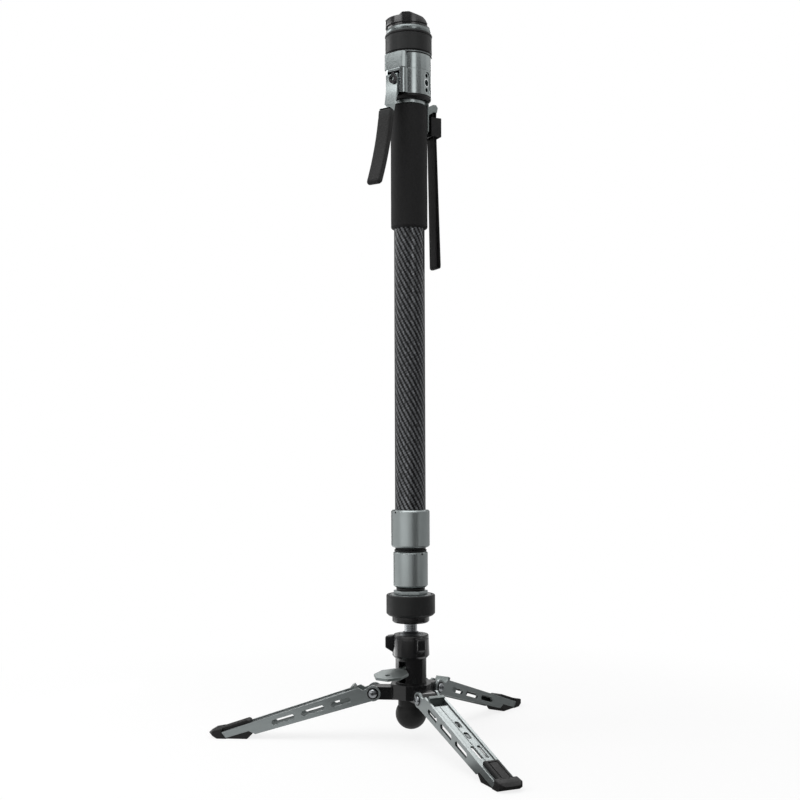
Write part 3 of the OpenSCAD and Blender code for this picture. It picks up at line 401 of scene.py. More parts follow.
def widestTop(bm):   # the largest face that looks up
    return max([f for f in bm.faces if f.normal.z > 0.98], key=lambda f: f.calc_area())


def addShell(bm, shell, place=Matrix()):   # puts a closed shell into a piece's mesh
    shell.transform(place)
    carrier = bpy.data.meshes.new("carrier")
    shell.to_mesh(carrier)
    shell.free()
    bm.from_mesh(carrier)
    bpy.data.meshes.remove(carrier)


def areaNormals(mesh, sharp):   # large faces keep their own normal, so a rounded edge alone takes the bend
    limit = math.cos(math.radians(sharp))
    facing = [(face.normal.copy(), face.area) for face in mesh.polygons]
    around = [[] for vert in mesh.vertices]
    for face in mesh.polygons:
        for index in face.vertices:
            around[index].append(facing[face.index])
    normals = []
    for face in mesh.polygons:
        own = facing[face.index][0]
        for index in face.vertices:
            near = [normal * area for normal, area in around[index] if own.dot(normal) > limit]
            normals.append(sum(near, Vector()).normalized() if near else own)
    mesh.normals_split_custom_set(normals)


def finishPiece(bm, name, finish, body, stands=(), sharp=40):   # mesh to object, with its finish and body
    mesh = bpy.data.meshes.new(name)
    bm.to_mesh(mesh)
    bm.free()
    mesh.materials.append(finishes[finish])
    mesh.polygons.foreach_set("use_smooth", [True] * len(mesh.polygons))
    mesh.set_sharp_from_angle(angle=math.radians(sharp))
    areaNormals(mesh, sharp)
    piece = bpy.data.objects.new(name, mesh)
    scene.collection.objects.link(piece)
    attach(piece, body)
    if stands:
        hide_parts(*stands)
    return piece


bodies = frame["record"]["behaviour"]["bodies"]
bodyOf = {node: body for body, members in bodies.items() for node in members}

# Pieces whose solid has the right shape: the same shape with its edges broken
brokenEdges = {   # node: finish, edge round in millimetres
    "top_crown": ("crownAlloy", 0.3), "head_upper_housing": ("headAlloy", 0.35),
    "head_lower_housing": ("headAlloy", 0.35), "accessory_insert": ("brightAlloy", 0.2),
    "lever_arm": ("headAlloy", 0.3), "lever_catch": ("blackAlloy", 0.25), "lever_pin": ("steel", 0.2),
    "strap_lug": ("pedalAlloy", 0.4), "tube_plug": ("headAlloy", 0.3),
    "column": ("blackAlloy", 0.25), "pedal": ("pedalAlloy", 0.5), "hub": ("blackAlloy", 0.5),
    "catch_back": ("pedalAlloy", 0.25), "catch_left": ("pedalAlloy", 0.25),
    "catch_right": ("pedalAlloy", 0.25),
}
for node, (finish, width) in brokenEdges.items():
    bm = cadCopy(node)
    soften(bm, width)
    finishPiece(bm, node + "_finished", finish, bodyOf[node], [node])
print("broken edges:", len(brokenEdges))


# Profiles that several pieces share

def cutRing(bore, low, high, reach, lowCut, highCut):   # a ring's profile; a cut goes this far in and up
    (lowIn, lowUp), (highIn, highDown) = lowCut, highCut
    return [(bore, low), (reach - lowIn, low), (reach, low + lowUp), (reach, high - highDown),
            (reach - highIn, high), (bore, high)]


def roundArc(middleR, middleZ, radius, fromAngle, toAngle, steps):   # part of a circle, both ends included
    angles = [math.radians(fromAngle + (toAngle - fromAngle) * i / steps) for i in range(steps + 1)]
    return [(middleR + radius * math.cos(a), middleZ + radius * math.sin(a)) for a in angles]


def fromEnds(low, high, rising, hanging):   # points measured up from the bottom, then down from the top
    return [(r, low + up) for r, up in rising] + [(r, high - down) for r, down in hanging]


# Top coupling: convex trim ring, rubber lock ring under a black rim, thin ring between two gaskets

def topCoupling():
    ringSet = {
        "bore": 15.0, "play": 0.06, "bulge": 0.2, "sleeveWall": 2.8, "lowCut": (0.8, 0.8),
        "highCut": (0.4, 0.4), "rimCut": 0.6, "edge": 0.25, "blackLine": 0.8, "trimEdge": 0.2,
        "lineEdge": 0.15,
    }
    bore = ringSet["bore"]
    low, high, reach = ringSize("top_trim_ring")
    middle, half = (low + high) / 2, (high - low) / 2
    bulge = [(reach - half * ringSet["bulge"] * (1 - math.cos(a)), middle + half * math.sin(a))
             for a in [math.radians(d) for d in range(-80, 81, 20)]]
    bm = turned([(bore, low)] + bulge + [(bore, high)])
    finishPiece(bm, "trim_ring_finished", "trimAlloy", "upper", ["top_trim_ring"])

    low, sleeveTop, reach = ringSize("top_ring_rubber")
    core = reach - ringSet["sleeveWall"]
    bm = turned(cutRing(core, low, sleeveTop, reach, ringSet["lowCut"], ringSet["highCut"]))
    soften(bm, ringSet["edge"], segments=3, angle=20)
    finishPiece(bm, "lock_ring_sleeve", "ringRubber", "top_ring", ["top_ring_rubber"])

    low, high, rim = ringSize("top_ring_core")
    loose, cut = bore + ringSet["play"], ringSet["rimCut"]
    bm = turned([(loose, low), (core, low), (core, sleeveTop), (rim - cut, sleeveTop), (rim, sleeveTop + cut),
                 (rim, high - cut), (rim - cut, high), (loose, high)])
    soften(bm, ringSet["edge"])
    finishPiece(bm, "lock_ring_core", "oxideSteel", "top_ring", ["top_ring_core"])

    low, high, reach = ringSize("top_lower_trim")
    line, trimEdge, lineEdge = ringSet["blackLine"], ringSet["trimEdge"], ringSet["lineEdge"]
    for name, finish, foot, head, edge, stands in (
            ("lower_trim_ring", "trimAlloy", low + line, high - line, trimEdge, ["top_lower_trim"]),
            ("trim_gasket_low", "oxideSteel", low, low + line, lineEdge, []),
            ("trim_gasket_high", "oxideSteel", high - line, high, lineEdge, [])):
        bm = turned([(bore, foot), (reach, foot), (reach, head), (bore, head)])
        soften(bm, edge)
        finishPiece(bm, name, finish, "upper", stands)


topCoupling()
print("top coupling")


# Rings and collars down the pole

def poleRings():
    tube, middle, inner = [ringSize(name)[2] for name in ("outer_tube", "middle_tube", "inner_tube")]
    cutRings = {   # node: piece, finish, bore, lower cut, upper cut, edge
        "head_seal_ring": ("seal_ring_finished", "oxideSteel", tube, (2.2, 2.0), (0.5, 0.4), 0.2),
        "neck_collar": ("neck_ring_finished", "collarAlloy", tube, (0.4, 0.5), (0.5, 0.5), 0.15),
        "upper_wiper": ("upper_wiper_finished", "ringRubber", 14.3, (0.6, 0.6), (0.6, 0.6), 0.15),
        "lower_gasket": ("lower_gasket_finished", "ringRubber", 14.0, (0.5, 0.5), (0.5, 0.5), 0.15),
        "plug_seal": ("plug_seal_finished", "ringRubber", 12.0, (0.8, 0.8), (0.8, 0.8), 0.15),
    }
    for node, (name, finish, bore, lowCut, highCut, edge) in cutRings.items():
        bm = turned(cutRing(bore, *ringSize(node), lowCut, highCut))
        soften(bm, edge, angle=20)
        finishPiece(bm, name, finish, bodyOf[node], [node])

    collarSet = {
        "cut": 1.6, "edge": 0.35, "cave": 1.44, "seat": 19.5, "lip": 5, "mouthGap": 0.4, "turnGap": 0.06,
    }
    cut, gap = collarSet["cut"], collarSet["mouthGap"]
    for name, mouth, seat in (("upper_collar", middle, tube),
                              ("lower_collar", inner, middle + collarSet["turnGap"])):
        low, high, reach = ringSize(name)
        cave, ledge, lip = seat + collarSet["cave"], high - collarSet["seat"], low + collarSet["lip"]
        bm = turned([(mouth + gap, low), (reach - cut, low), (reach, low + cut), (reach, high - cut),
                     (reach - cut, high), (seat, high), (seat, ledge), (cave, ledge), (cave, lip),
                     (mouth + gap, lip)])
        soften(bm, collarSet["edge"], segments=3)
        finishPiece(bm, name + "_finished", "collarAlloy", bodyOf[name], [name])

    # Small set screws let into the collars: degrees from the camera's side, drop from the collar's top
    setScrews = {"upper_collar": (-51, 2.4), "lower_collar": (42, 2.4)}
    screwProfile = [(0, 0.1), (0.5, 0.1), (0.5, -0.3), (0.75, 0.25), (1.1, 0.15), (1.3, -0.6), (0, -0.6)]
    for name, (swing, drop) in setScrews.items():
        low, high, reach = ringSize(name)
        bm = turned(screwProfile, steps=24)
        turn = math.radians(cameraSet["azimuth"] + swing - 90)
        bm.transform(Matrix.Translation((0, 0, (high - drop) * mm)) @ Matrix.Rotation(turn, 4, "Z")
                     @ Matrix.Translation((reach * mm, 0, 0)) @ Matrix.Rotation(math.pi / 2, 4, "Y"))
        finishPiece(bm, name + "_set_screw", "blackAlloy", bodyOf[name])


poleRings()
print("rings and collars")


# Carbon tube: true round, with finely rounded ends

def carbonTube():
    tubeSet = {"wall": 1.1, "edge": 0.2, "steps": 128}
    low, high, reach = ringSize("outer_tube")
    bore = reach - tubeSet["wall"]
    bm = turned([(bore, low), (reach, low), (reach, high), (bore, high)], tubeSet["steps"])
    soften(bm, tubeSet["edge"])
    finishPiece(bm, "carbon_tube_finished", "carbon", "upper", ["outer_tube"])


carbonTube()


# Foam grip: a sleeve that is a little uneven, as hand-fitted foam is

def foamGrip():
    foamSet = {
        "end": 2.4, "fit": 0.02, "rings": 40, "skin": 1, "wave": 0.18, "waveSize": 16, "waveMost": 0.05,
    }
    low, high, reach = ringSize("foam_grip")
    bore = ringSize("outer_tube")[2] + foamSet["fit"]
    end, rings = foamSet["end"], foamSet["rings"]
    heights = [low + end + (high - low - 2 * end) * i / rings for i in range(rings + 1)]
    lowRound = [(reach - end + end * math.sin(a), low + end - end * math.cos(a))
                for a in [math.radians(d) for d in range(0, 90, 15)]]
    highRound = [(r, low + high - z) for r, z in reversed(lowRound)]
    bm = turned([(bore, low)] + lowRound + [(reach, z) for z in heights] + highRound + [(bore, high)])
    for vert in bm.verts:
        flat = Vector((vert.co.x, vert.co.y, 0))
        if flat.length > (bore + foamSet["skin"]) * mm:   # the bore stays true
            ripple = noise.noise(vert.co * scaleFor(foamSet["waveSize"])) * foamSet["wave"] * mm
            vert.co += flat.normalized() * min(ripple, foamSet["waveMost"] * mm)
    piece = finishPiece(bm, "foam_grip_finished", "foam", "upper", ["foam_grip"], sharp=60)


foamGrip()
print("carbon tube and foam grip")


# Base lock ring, ball stud, dome and ball foot
ballR = 11.0   # the ball on the pole's stem, in millimetres


def baseJoint():
    baseSet = {
        "ringBore": 15.0, "play": 0.06, "rimCut": 1.2, "rimEdge": 0.2, "lowCut": (2.4, 2.4),
        "highCut": (0.9, 0.9), "sleeveEdge": 0.4, "socketCut": 1.6, "shoulderCut": 0.6, "shoulderGap": 0.25,
        "floorUp": 2, "floorDown": 1, "plug": 10.0, "socketEdge": 0.25, "stem": 6.6, "tenon": 5.0,
        "stemEdge": 0.5, "domeIn": 16.5, "domeOut": 17.5, "domeAngle": 50, "domeEdge": 0.2, "footNeck": 13.5,
        "neckRound": 2.2,
    }
    low, high, core = ringSize("base_ring_core")
    shoulder = low - baseSet["shoulderGap"]
    loose, cut = baseSet["ringBore"] + baseSet["play"], baseSet["rimCut"]
    bm = turned([(loose, low), (core, low), (core, high - cut), (core - cut, high), (loose, high)])
    soften(bm, baseSet["rimEdge"])
    finishPiece(bm, "base_ring_core_finished", "headAlloy", "base_ring", ["base_ring_core"])

    bm = turned(cutRing(core, *ringSize("base_ring_rubber"), baseSet["lowCut"], baseSet["highCut"]))
    soften(bm, baseSet["sleeveEdge"], segments=3, angle=30)
    finishPiece(bm, "base_ring_sleeve", "ringRubber", "base_ring", ["base_ring_rubber"])

    low, high, reach = ringSize("base_socket")
    bore, plug, tenon = baseSet["ringBore"], baseSet["plug"], baseSet["tenon"]
    cut, topCut = baseSet["socketCut"], baseSet["shoulderCut"]
    floorTop, floorLow = shoulder + baseSet["floorUp"], shoulder - baseSet["floorDown"]
    bm = turned([(tenon, low), (reach - cut, low), (reach, low + cut), (reach, shoulder - topCut),
                 (reach - topCut, shoulder), (bore, shoulder), (bore, high), (plug, high), (plug, floorTop),
                 (0, floorTop), (0, floorLow), (tenon, floorLow)])
    soften(bm, baseSet["socketEdge"], angle=30)
    finishPiece(bm, "base_socket_finished", "blackAlloy", bodyOf["base_socket"], ["base_socket"])

    stem = baseSet["stem"]
    centre = ringSize("ball_stud")[0] + ballR
    bm = turned(roundArc(0, centre, ballR, -90, math.degrees(math.acos(stem / ballR)), steps=24)
                + [(stem, low), (tenon, low), (tenon, floorLow), (0, floorLow)])
    soften(bm, baseSet["stemEdge"], segments=3, angle=30)
    finishPiece(bm, "ball_stud_finished", "steel", bodyOf["ball_stud"], ["ball_stud"])

    domeOut, domeIn = baseSet["domeOut"], baseSet["domeIn"]
    rim = 90 - baseSet["domeAngle"]
    bm = turned(roundArc(0, centre, domeOut, rim, math.degrees(math.acos(stem / domeOut)), steps=14)
                + roundArc(0, centre, domeIn, math.degrees(math.acos(stem / domeIn)), rim, steps=14))
    soften(bm, baseSet["domeEdge"], angle=40)
    finishPiece(bm, "ball_dome_finished", "domeSteel", bodyOf["ball_dome"], ["ball_dome"])

    low, high, reach = ringSize("ball_foot")
    neck = baseSet["footNeck"]
    neckAngle = math.degrees(math.acos(neck / reach))
    bm = turned(roundArc(0, low + reach, reach, -90, neckAngle, steps=28) + [(neck, high), (0, high)])
    soften(bm, baseSet["neckRound"], segments=4, angle=20)
    finishPiece(bm, "ball_foot_finished", "footRubber", bodyOf["ball_foot"], ["ball_foot"])


baseJoint()


# Wing collar: a turned cup over the ball, with three thumb wings
legTurns = {"back": 90, "left": 210, "right": 330}   # degrees round the pole, for the wings too


def wingCollar():
    wingSet = {   # walls and wings as radius and rise from the bottom, then radius and drop from the top
        "lowWall": [(17.4, 0), (19.4, 2.4), (18.8, 19.6), (18.4, 20), (18.8, 20.4)],
        "highWall": [(18.6, 0.8), (17.8, 0)],
        "lowWing": [(17.4, 4.4), (26.7, 10)], "highWing": [(26.7, 3), (25.2, 1.8), (17.4, 0.8)],
        "wide": 9, "round": 1.3, "edge": 0.2, "cup": 18.0, "bore": 15.66, "mouth": 12.46, "steps": 120,
    }
    low, high = [corner.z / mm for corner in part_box("wing_collar")]
    centre = ringSize("ball_stud")[0] + ballR
    cup, bore = wingSet["cup"], wingSet["bore"]
    lowAngle = -math.degrees(math.acos(bore / cup))
    highAngle = math.degrees(math.acos(wingSet["mouth"] / cup))
    outside = fromEnds(low, high, wingSet["lowWall"], wingSet["highWall"])
    inside = roundArc(0, centre, cup, highAngle, lowAngle, steps=12) + [(bore, low)]
    bm = turned(outside + inside, wingSet["steps"])
    soften(bm, wingSet["edge"], angle=35)
    for angle in legTurns.values():
        wing = prism(fromEnds(low, high, wingSet["lowWing"], wingSet["highWing"]), wingSet["wide"])
        soften(wing, wingSet["round"], segments=3)
        addShell(bm, wing, Matrix.Rotation(math.radians(angle), 4, "Z"))
    finishPiece(bm, "wing_collar_finished", "blackAlloy", "wing_lock", ["wing_collar"])


wingCollar()


# Index mark on the column: a small bright bar let into the wall

def indexMark():
    markSet = {"swing": 72, "height": 72, "wide": 1.2, "tall": 4.5, "proud": 0.15, "sunk": 0.6, "edge": 0.1}
    reach = ringSize("column")[2]
    inner, outer, half = reach - markSet["sunk"], reach + markSet["proud"], markSet["tall"] / 2
    bm = prism([(inner, -half), (outer, -half), (outer, half), (inner, half)], markSet["wide"])
    soften(bm, markSet["edge"])
    turn = math.radians(cameraSet["azimuth"] + markSet["swing"] - 90)
    bm.transform(Matrix.Translation((0, 0, markSet["height"] * mm)) @ Matrix.Rotation(turn, 4, "Z"))
    finishPiece(bm, "column_index_mark", "brightAlloy", bodyOf["column"])


indexMark()
print("base joint")


# Hinge screws: domed heads with a round socket on both ends of each shank, over black washers
hingeR, hingeZ = 39, 50   # the legs' hinges: reach and height in millimetres


def hingeScrews():
    screwSet = {
        "half": 11.25, "shank": 2.5, "head": 4.6, "rim": 0.5, "tall": 2.6, "socket": 1.7, "socketDrop": 0.1,
        "deep": 1.3, "edge": 0.12, "washer": 5.9, "washerThick": 0.2,
    }
    half, shank, washer = screwSet["half"], screwSet["shank"], screwSet["washer"]
    head, rim, tall = screwSet["head"], screwSet["rim"], screwSet["tall"]
    socket, floor, thin = screwSet["socket"], tall - screwSet["deep"], screwSet["washerThick"]
    dome = [(head * math.cos(a), rim + (tall - rim) * math.sin(a))
            for a in [math.radians(d) for d in range(0, 61, 12)]]
    headProfile = ([(0, 0), (head, 0)] + dome
                   + [(socket, tall - screwSet["socketDrop"]), (socket, floor), (0, floor)])
    washerProfile = [(shank, -thin), (washer, -thin), (washer, 0), (shank, 0)]
    shankProfile = [(0, -half), (shank, -half), (shank, half), (0, half)]
    screws, washers = bmesh.new(), bmesh.new()
    for angle in legTurns.values():
        toSide = Matrix.Rotation(math.radians(angle), 4, "Z")
        atHinge = toSide @ Matrix.Translation((hingeR * mm, 0, hingeZ * mm))
        for flip in (90, -90):
            place = atHinge @ Matrix.Rotation(math.radians(flip), 4, "X")
            place = place @ Matrix.Translation((0, 0, half * mm))
            shell = turned(headProfile, steps=36)
            soften(shell, screwSet["edge"], angle=40)
            addShell(screws, shell, place)
            addShell(washers, turned(washerProfile, steps=48), place)
        addShell(screws, turned(shankProfile, steps=32), atHinge @ Matrix.Rotation(math.radians(90), 4, "X"))
    finishPiece(screws, "hinge_screws_finished", "steel", "base", ["leg_hinge_screws"])
    finishPiece(washers, "hinge_washers", "blackAlloy", "base")


hingeScrews()
print("hinge screws")


# Squeeze lever grip: moulded rubber over the lever's tail, a plain band at its root and pebbles below

def leverGrip():
    gripSet = {"round": 2.6, "band": 8.5, "line": 0.7, "lineDepth": 0.35}
    bm = cadCopy("lever_grip")
    soften(bm, gripSet["round"], segments=5)
    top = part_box("lever_grip")[1].z
    band, line = gripSet["band"], gripSet["line"]
    for drop in (band - line, band, band + line):
        bmesh.ops.bisect_plane(bm, geom=bm.verts[:] + bm.edges[:] + bm.faces[:], dist=1e-6,
                               plane_co=(0, 0, top - drop * mm), plane_no=(0, 0, 1))
    onLine = [v for v in bm.verts if abs(v.co.z - top + band * mm) < 0.001 * mm]
    middle = sum((v.co for v in onLine), Vector()) / len(onLine)
    for vert in onLine:   # the groove under the band
        vert.co += (middle - vert.co).normalized() * gripSet["lineDepth"] * mm
    piece = finishPiece(bm, "lever_grip_finished", "gripRubber", "lever", ["lever_grip"])
    piece.data.materials.append(finishes["ringRubber"])
    for face in piece.data.polygons:
        if face.center.z > top - band * mm:
            face.material_index = 1


leverGrip()
print("lever grip")


# Wrist strap: one length of webbing folded over the lug's bar, and the keeper that closes it

def wristStrap():
    strapSet = {   # the route is reach from the pole's axis and height, in millimetres
        "azimuth": 60, "width": 15, "thick": 1.2, "bar": (26, 659.5), "fold": 2.7, "keeperEdge": 0.7,
        "hangIn": [(27.2, 496), (26.2, 560), (25.1, 620), (24.4, 646.5), (23.6, 654.5)],
        "hangOut": [(28.4, 654.5), (28, 646.5), (28.8, 620), (30.8, 560), (32.9, 497)],
        "turnLow": [(32.5, 494.6), (31.2, 493.7), (29, 493.7), (27.8, 494.4)],
    }
    overBar = roundArc(*strapSet["bar"], strapSet["fold"], 180, 0, steps=12)
    path = strapSet["hangIn"] + overBar + strapSet["hangOut"] + strapSet["turnLow"]
    width = strapSet["width"]
    turn = math.radians(strapSet["azimuth"])
    out = Vector((math.cos(turn), math.sin(turn), 0))
    side = Vector((-math.sin(turn), math.cos(turn), 0))
    bm = bmesh.new()
    verts = [bm.verts.new(out * r * mm + Vector((0, 0, z * mm)) - side * width / 2 * mm) for r, z in path]
    for here, there in zip(verts, verts[1:] + verts[:1]):
        bm.edges.new((here, there))
    bmesh.ops.subdivide_edges(bm, edges=[e for e in bm.edges if e.calc_length() > 20 * mm], cuts=5)
    made = bmesh.ops.extrude_edge_only(bm, edges=bm.edges[:])["geom"]
    pulled = [g for g in made if isinstance(g, bmesh.types.BMVert)]
    bmesh.ops.translate(bm, verts=pulled, vec=side * width * mm)
    bmesh.ops.recalc_face_normals(bm, faces=bm.faces[:])
    bmesh.ops.solidify(bm, geom=bm.faces[:], thickness=strapSet["thick"] * mm)
    uvs = bm.loops.layers.uv.new("strap")
    for face in bm.faces:
        for loop in face.loops:
            loop[uvs].uv = (loop.vert.co.dot(side) / mm, loop.vert.co.z / mm)
    piece = finishPiece(bm, "wrist_strap", "webbing", "strap", ["strap_loop"], sharp=50)

    bm = cadCopy("strap_buckle")
    soften(bm, strapSet["keeperEdge"], segments=3)
    finishPiece(bm, "strap_keeper", "acetal", bodyOf["strap_buckle"], ["strap_buckle"])


wristStrap()


# Legs and rubber feet: a foot's cap lies along the leg, its sole and nose along the floor

def legsAndFeet():
    legSet = {"slope": 17.49, "long": 167, "topAtHinge": 10.1, "topFall": 0.018, "edge": 0.8, "edgeLeast": 18}
    footSet = {   # sole and nose outlines are reach past the leg's end and height over the floor
        "capFrom": 135, "capPast": 5, "capWide": 15, "capRise": 3.7, "capUnder": (1.2, 4.2),
        "capRoot": (2, 2), "capNose": (2, 0.6), "frameIn": 2.0, "frameCorner": 1.8,
        "grooveWall": 0.25, "groove": 0.9, "grooveDeep": 0.7, "edge": 0.9,
        "sole": [(-32, 6.1), (-26, 0), (6.5, 0), (6.5, 5.5), (1, 3.5), (-29, 10)], "soleWide": 21.7,
        "nose": [(-4, 0), (6.5, 0), (16, 5.8), (10.5, 8.6), (1, 10.4), (1, 6)], "noseWide": 24, "corner": 5,
    }
    slope = math.radians(legSet["slope"])
    tip = hingeR + legSet["long"] * math.cos(slope)
    capFrom, capEnd, rise = footSet["capFrom"], legSet["long"] + footSet["capPast"], footSet["capRise"]
    rootHigh = legSet["topAtHinge"] - legSet["topFall"] * capFrom   # the leg's top edge under the cap
    endHigh = legSet["topAtHinge"] - legSet["topFall"] * legSet["long"]
    (rootIn, rootDown), (noseIn, noseDown) = footSet["capRoot"], footSet["capNose"]
    rootUnder, endUnder = footSet["capUnder"]
    capOutline = [(capFrom, rootHigh - rootUnder), (capEnd, endHigh - endUnder),
                  (capEnd, endHigh + rise - noseDown), (capEnd - noseIn, endHigh + rise),
                  (capFrom + rootIn, rootHigh + rise), (capFrom, rootHigh + rise - rootDown)]
    soleOutline, noseOutline = [[(tip + past, up) for past, up in footSet[name]] for name in ("sole", "nose")]
    cornerReach = max(reach for reach, up in noseOutline) - footSet["corner"] / 2
    cornerSide = (footSet["noseWide"] - footSet["corner"]) / 2
    deep, wall = footSet["grooveDeep"], footSet["grooveWall"]
    for side, angle in legTurns.items():
        toSide = Matrix.Rotation(math.radians(angle), 4, "Z")
        toLeg = toSide @ Matrix.Translation((hingeR * mm, 0, hingeZ * mm)) @ Matrix.Rotation(slope, 4, "Y")
        fromLeg = toLeg.inverted()

        bm = cadCopy("leg_" + side, whole=False)
        soften(bm, legSet["edge"], segments=3, clamp=True, least=legSet["edgeLeast"])
        uvs = bm.loops.layers.uv.new("along")
        for face in bm.faces:
            for loop in face.loops:
                local = fromLeg @ loop.vert.co / mm
                loop[uvs].uv = (local.x, local.y + local.z)
        finishPiece(bm, "leg_" + side + "_finished", "legAlloy", "leg_" + side, ["leg_" + side])

        cap = prism(capOutline, footSet["capWide"])
        soften(cap, footSet["edge"], segments=3)
        top = widestTop(cap)
        bmesh.ops.inset_region(cap, faces=[top], thickness=footSet["frameIn"] * mm)
        bmesh.ops.bevel(cap, geom=list(top.verts), offset=footSet["frameCorner"] * mm, offset_type="OFFSET",
                        affect="VERTICES", segments=4, profile=0.5, material=-1)
        top = widestTop(cap)
        for thickness, depth in ((wall, -deep), (footSet["groove"], 0), (wall, deep)):   # a sunk frame line
            bmesh.ops.inset_region(cap, faces=[top], thickness=thickness * mm, depth=depth * mm)
        sole = prism(soleOutline, footSet["soleWide"])
        soften(sole, footSet["edge"], segments=3)
        nose = prism(noseOutline, footSet["noseWide"])
        for turn in (1, -1):
            cornerCut(nose, (cornerReach * mm, turn * cornerSide * mm, 0), (1, turn, 0))
        soften(nose, footSet["edge"], segments=3, angle=20)
        bm = bmesh.new()
        addShell(bm, cap, toLeg)
        addShell(bm, sole, toSide)
        addShell(bm, nose, toSide)
        finishPiece(bm, "foot_" + side + "_finished", "footRubber", bodyOf["foot_" + side], ["foot_" + side])


legsAndFeet()
print("legs and feet")


# Solids that stay as they are get their finish

keptNodes = {
    "carbon": ["middle_tube", "inner_tube"],
    "nylon": ["upper_collet", "lower_collet", "middle_bush", "inner_bush", "ball_seat"],
    "steel": ["release_rod", "pedal_pin", "brake_plunger", "clutch_jaw_1", "clutch_jaw_2", "clutch_jaw_3"],
}
for finish, members in keptNodes.items():
    for name in members:
        for materialSlot in nodes[name].material_slots:
            materialSlot.material = finishes[finish]
print("kept solids finished")


# Stage: pale floor, white surroundings for the camera and for reflections, soft lamps and cards

def whiteToCamera(tree, dull, share=None):   # white to camera, glossy and transmission rays, else dull
    path = addNode(tree, "LightPath")
    seen = addNode(tree, "Math", {"operation": "MAXIMUM"}, {
        0: path.outputs["Is Camera Ray"], 1: path.outputs["Is Glossy Ray"]})
    seen = addNode(tree, "Math", {"operation": "MAXIMUM"}, {
        0: seen.outputs[0], 1: path.outputs["Is Transmission Ray"]})
    if share:
        seen = addNode(tree, "Math", {"operation": "MULTIPLY"}, {0: seen.outputs[0], 1: share})
    white = addNode(tree, "Background" if dull.bl_idname == "ShaderNodeBackground" else "Emission", {}, {
        "Color": (1, 1, 1, 1), "Strength": 1.0})
    return addNode(tree, "MixShader", {}, {
        "Fac": seen.outputs[0], 1: dull.outputs[0], 2: white.outputs[0]})


def stagePiece(bm, name, material):
    mesh = bpy.data.meshes.new(name)
    bm.to_mesh(mesh)
    bm.free()
    mesh.materials.append(material)
    piece = bpy.data.objects.new(name, mesh)
    scene.collection.objects.link(piece)
    return piece


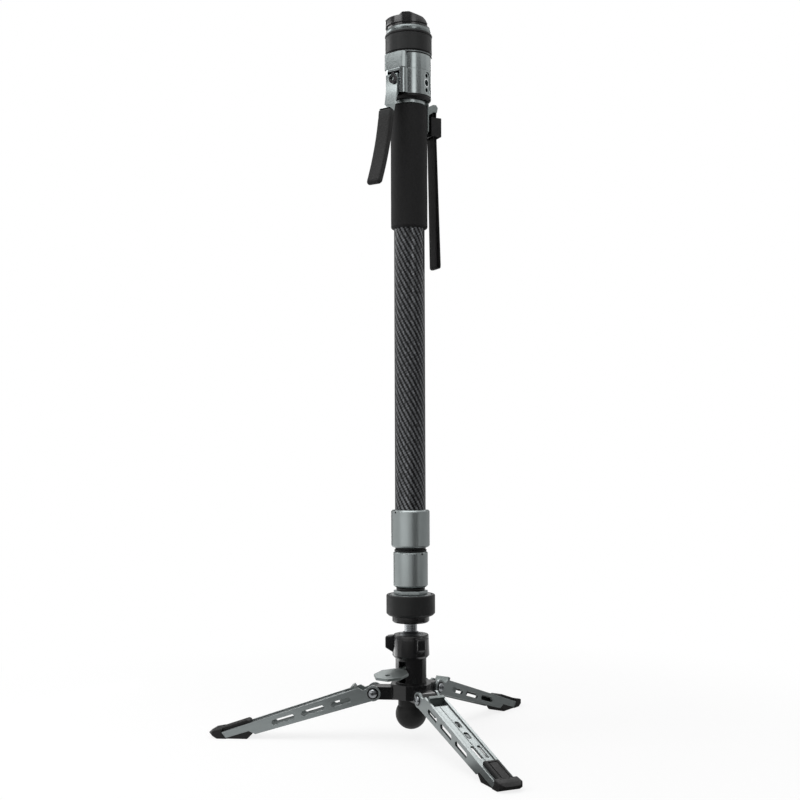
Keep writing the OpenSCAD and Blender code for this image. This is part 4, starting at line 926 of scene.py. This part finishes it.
def stageAndLight():
    stageSet = {
        "floor": 5.0, "floorTone": "#f4f4f4", "paper": 40, "world": 0.4, "whiteNear": 0.82, "near": 0.22,
        "far": 0.7, "cardsAbove": 0.0006, "lampAim": 0.35,
    }
    world = bpy.data.worlds.new("studio")
    world.use_nodes = True
    world.node_tree.nodes.clear()
    dull = addNode(world.node_tree, "Background", {}, {"Color": (1, 1, 1, 1), "Strength": stageSet["world"]})
    mixed = whiteToCamera(world.node_tree, dull)
    addNode(world.node_tree, "OutputWorld", {}, {"Surface": mixed.outputs[0]})
    scene.world = world

    # Paper floor: it keeps the shadow near the pole and turns plain white further out
    material, tree = newMaterial("studioFloor")
    place = addNode(tree, "TexCoord").outputs["Object"]
    paper = addNode(tree, "TexNoise", {}, {
        "Vector": place, "Scale": scaleFor(stageSet["paper"]), "Detail": 2.0})
    rough = addNode(tree, "MapRange", {}, {
        "Value": paper.outputs["Fac"], "From Min": 0.3, "From Max": 0.7, "To Min": 0.85, "To Max": 0.95})
    shader = addNode(tree, "BsdfPrincipled", {}, {
        "Base Color": hexColor(stageSet["floorTone"]), "Roughness": rough.outputs["Result"],
        "Specular IOR Level": 0.1})
    reach = addNode(tree, "VectorMath", {"operation": "LENGTH"}, {0: place})
    share = addNode(tree, "MapRange", {"interpolation_type": "SMOOTHSTEP"}, {
        "Value": reach.outputs["Value"], "From Min": stageSet["near"], "From Max": stageSet["far"],
        "To Min": stageSet["whiteNear"], "To Max": 1.0})
    mixed = whiteToCamera(tree, shader, share.outputs["Result"])
    addNode(tree, "OutputMaterial", {}, {"Surface": mixed.outputs[0]})
    bm = bmesh.new()
    bmesh.ops.create_grid(bm, x_segments=2, y_segments=2, size=stageSet["floor"])
    stagePiece(bm, "floor", material)

    # Cards that only reflections see: degrees from the camera's side, heights, reach, brightness
    cards = {
        "crownLeft": (-140, -76, 1.286, 1.42, 1.6, 0.25), "crownBand": (-74, -36, 1.29, 1.42, 1.6, 6.0),
        "crownBlack": (-32, 12, 1.29, 1.42, 1.6, 0.03), "crownGrey": (18, 130, 1.29, 1.42, 1.6, 1.8),
        "headFront": (-91, -58, 0.62, 1.285, 1.6, 0.55), "headBlack": (-34, 14, 0.62, 1.285, 1.6, 0.18),
        "headStrip": (17, 35, 0.62, 1.285, 1.6, 2.6), "headDark": (37, 64, 0.62, 1.285, 1.6, 0.2),
        "headGrey": (65, 100, 0.62, 1.285, 1.6, 0.7), "ringLeft": (-139, -97, 1.0, 1.265, 1.6, 6.0),
        "midDark": (6, 60, 0.25, 0.62, 1.6, 0.1), "midGrey": (62, 130, 0.25, 0.62, 1.6, 0.45),
        "lowBlack": (-62, 95, 0.002, 0.075, 0.5, 0.06), "lowBright": (-62, -14, 0.08, 0.25, 0.5, 1.7),
        "lowDark": (10, 46, 0.08, 0.25, 0.5, 0.2), "lowGrey": (60, 150, 0.08, 0.25, 0.5, 0.6),
        "lowLeft": (-134, -92, 0.002, 0.035, 0.5, 7.0), "stemLeft": (-150, -64, 0.04, 0.078, 0.5, 0.5),
        "skyFront": (-70, 70, 1.6, 2.6, 1.6, 1.6), "leftBack": (-177, -162, 0.02, 0.15, 1.0, 3.0),
        "edgeLeft": (-161, -140, 0.002, 1.5, 1.2, 0.03), "edgeRight": (140, 161, 0.002, 1.5, 1.2, 0.03),
        "backDark": (162, 200, 0.16, 0.6, 1.1, 0.45), "skyBack": (156, 194, 0.75, 1.5, 1.1, 5.0),
    }
    floorCards = {   # flat ones just above the floor: degrees, inner and outer reach, brightness
        "floorDark": (-45, 95, 0.12, 0.6, 0.08), "floorBack": (100, 150, 0.12, 0.5, 0.25),
    }
    above = stageSet["cardsAbove"]
    sheets = [(name, begin, stop, (reach, foot), (reach, head), glow)
              for name, (begin, stop, foot, head, reach, glow) in cards.items()]
    sheets += [(name, begin, stop, (inner, above), (outer, above), glow)
               for name, (begin, stop, inner, outer, glow) in floorCards.items()]
    for name, begin, stop, first, second, glow in sheets:
        material, tree = newMaterial(name)
        shader = addNode(tree, "Emission", {}, {"Color": (1, 1, 1, 1), "Strength": glow})
        addNode(tree, "OutputMaterial", {}, {"Surface": shader.outputs[0]})
        bm = bmesh.new()
        ends = [bm.verts.new(aroundPole(cameraSet["azimuth"] + begin, *corner)) for corner in (first, second)]
        edge = bm.edges.new(ends)
        bmesh.ops.spin(bm, geom=ends + [edge], axis=(0, 0, 1), cent=(0, 0, 0), dvec=(0, 0, 0),
                       angle=math.radians(stop - begin), steps=12)
        card = stagePiece(bm, name, material)
        card.visible_camera = card.visible_diffuse = card.visible_shadow = card.visible_transmission = False

    lamps = {   # name: turn from the camera's side, reach, height, width, tall, watts, shows in reflections
        "overhead": (-30, 0.5, 1.7, 1.6, 1.6, 19, True),
        "leftBox": (-75, 1.3, 0.8, 0.7, 1.4, 9, False),
    }
    for name, (swing, reach, height, width, tall, watts, shows) in lamps.items():
        light = bpy.data.lights.new(name, "AREA")
        light.shape = "RECTANGLE"
        light.size, light.size_y = width, tall
        light.energy = watts
        lamp = bpy.data.objects.new(name, light)
        lamp.location = aroundPole(cameraSet["azimuth"] + swing, reach, height)
        aim = Vector((0, 0, stageSet["lampAim"])) - lamp.location
        lamp.rotation_euler = aim.to_track_quat("-Z", "Y").to_euler()
        lamp.visible_glossy = shows
        scene.collection.objects.link(lamp)


stageAndLight()
print("stage and lights")
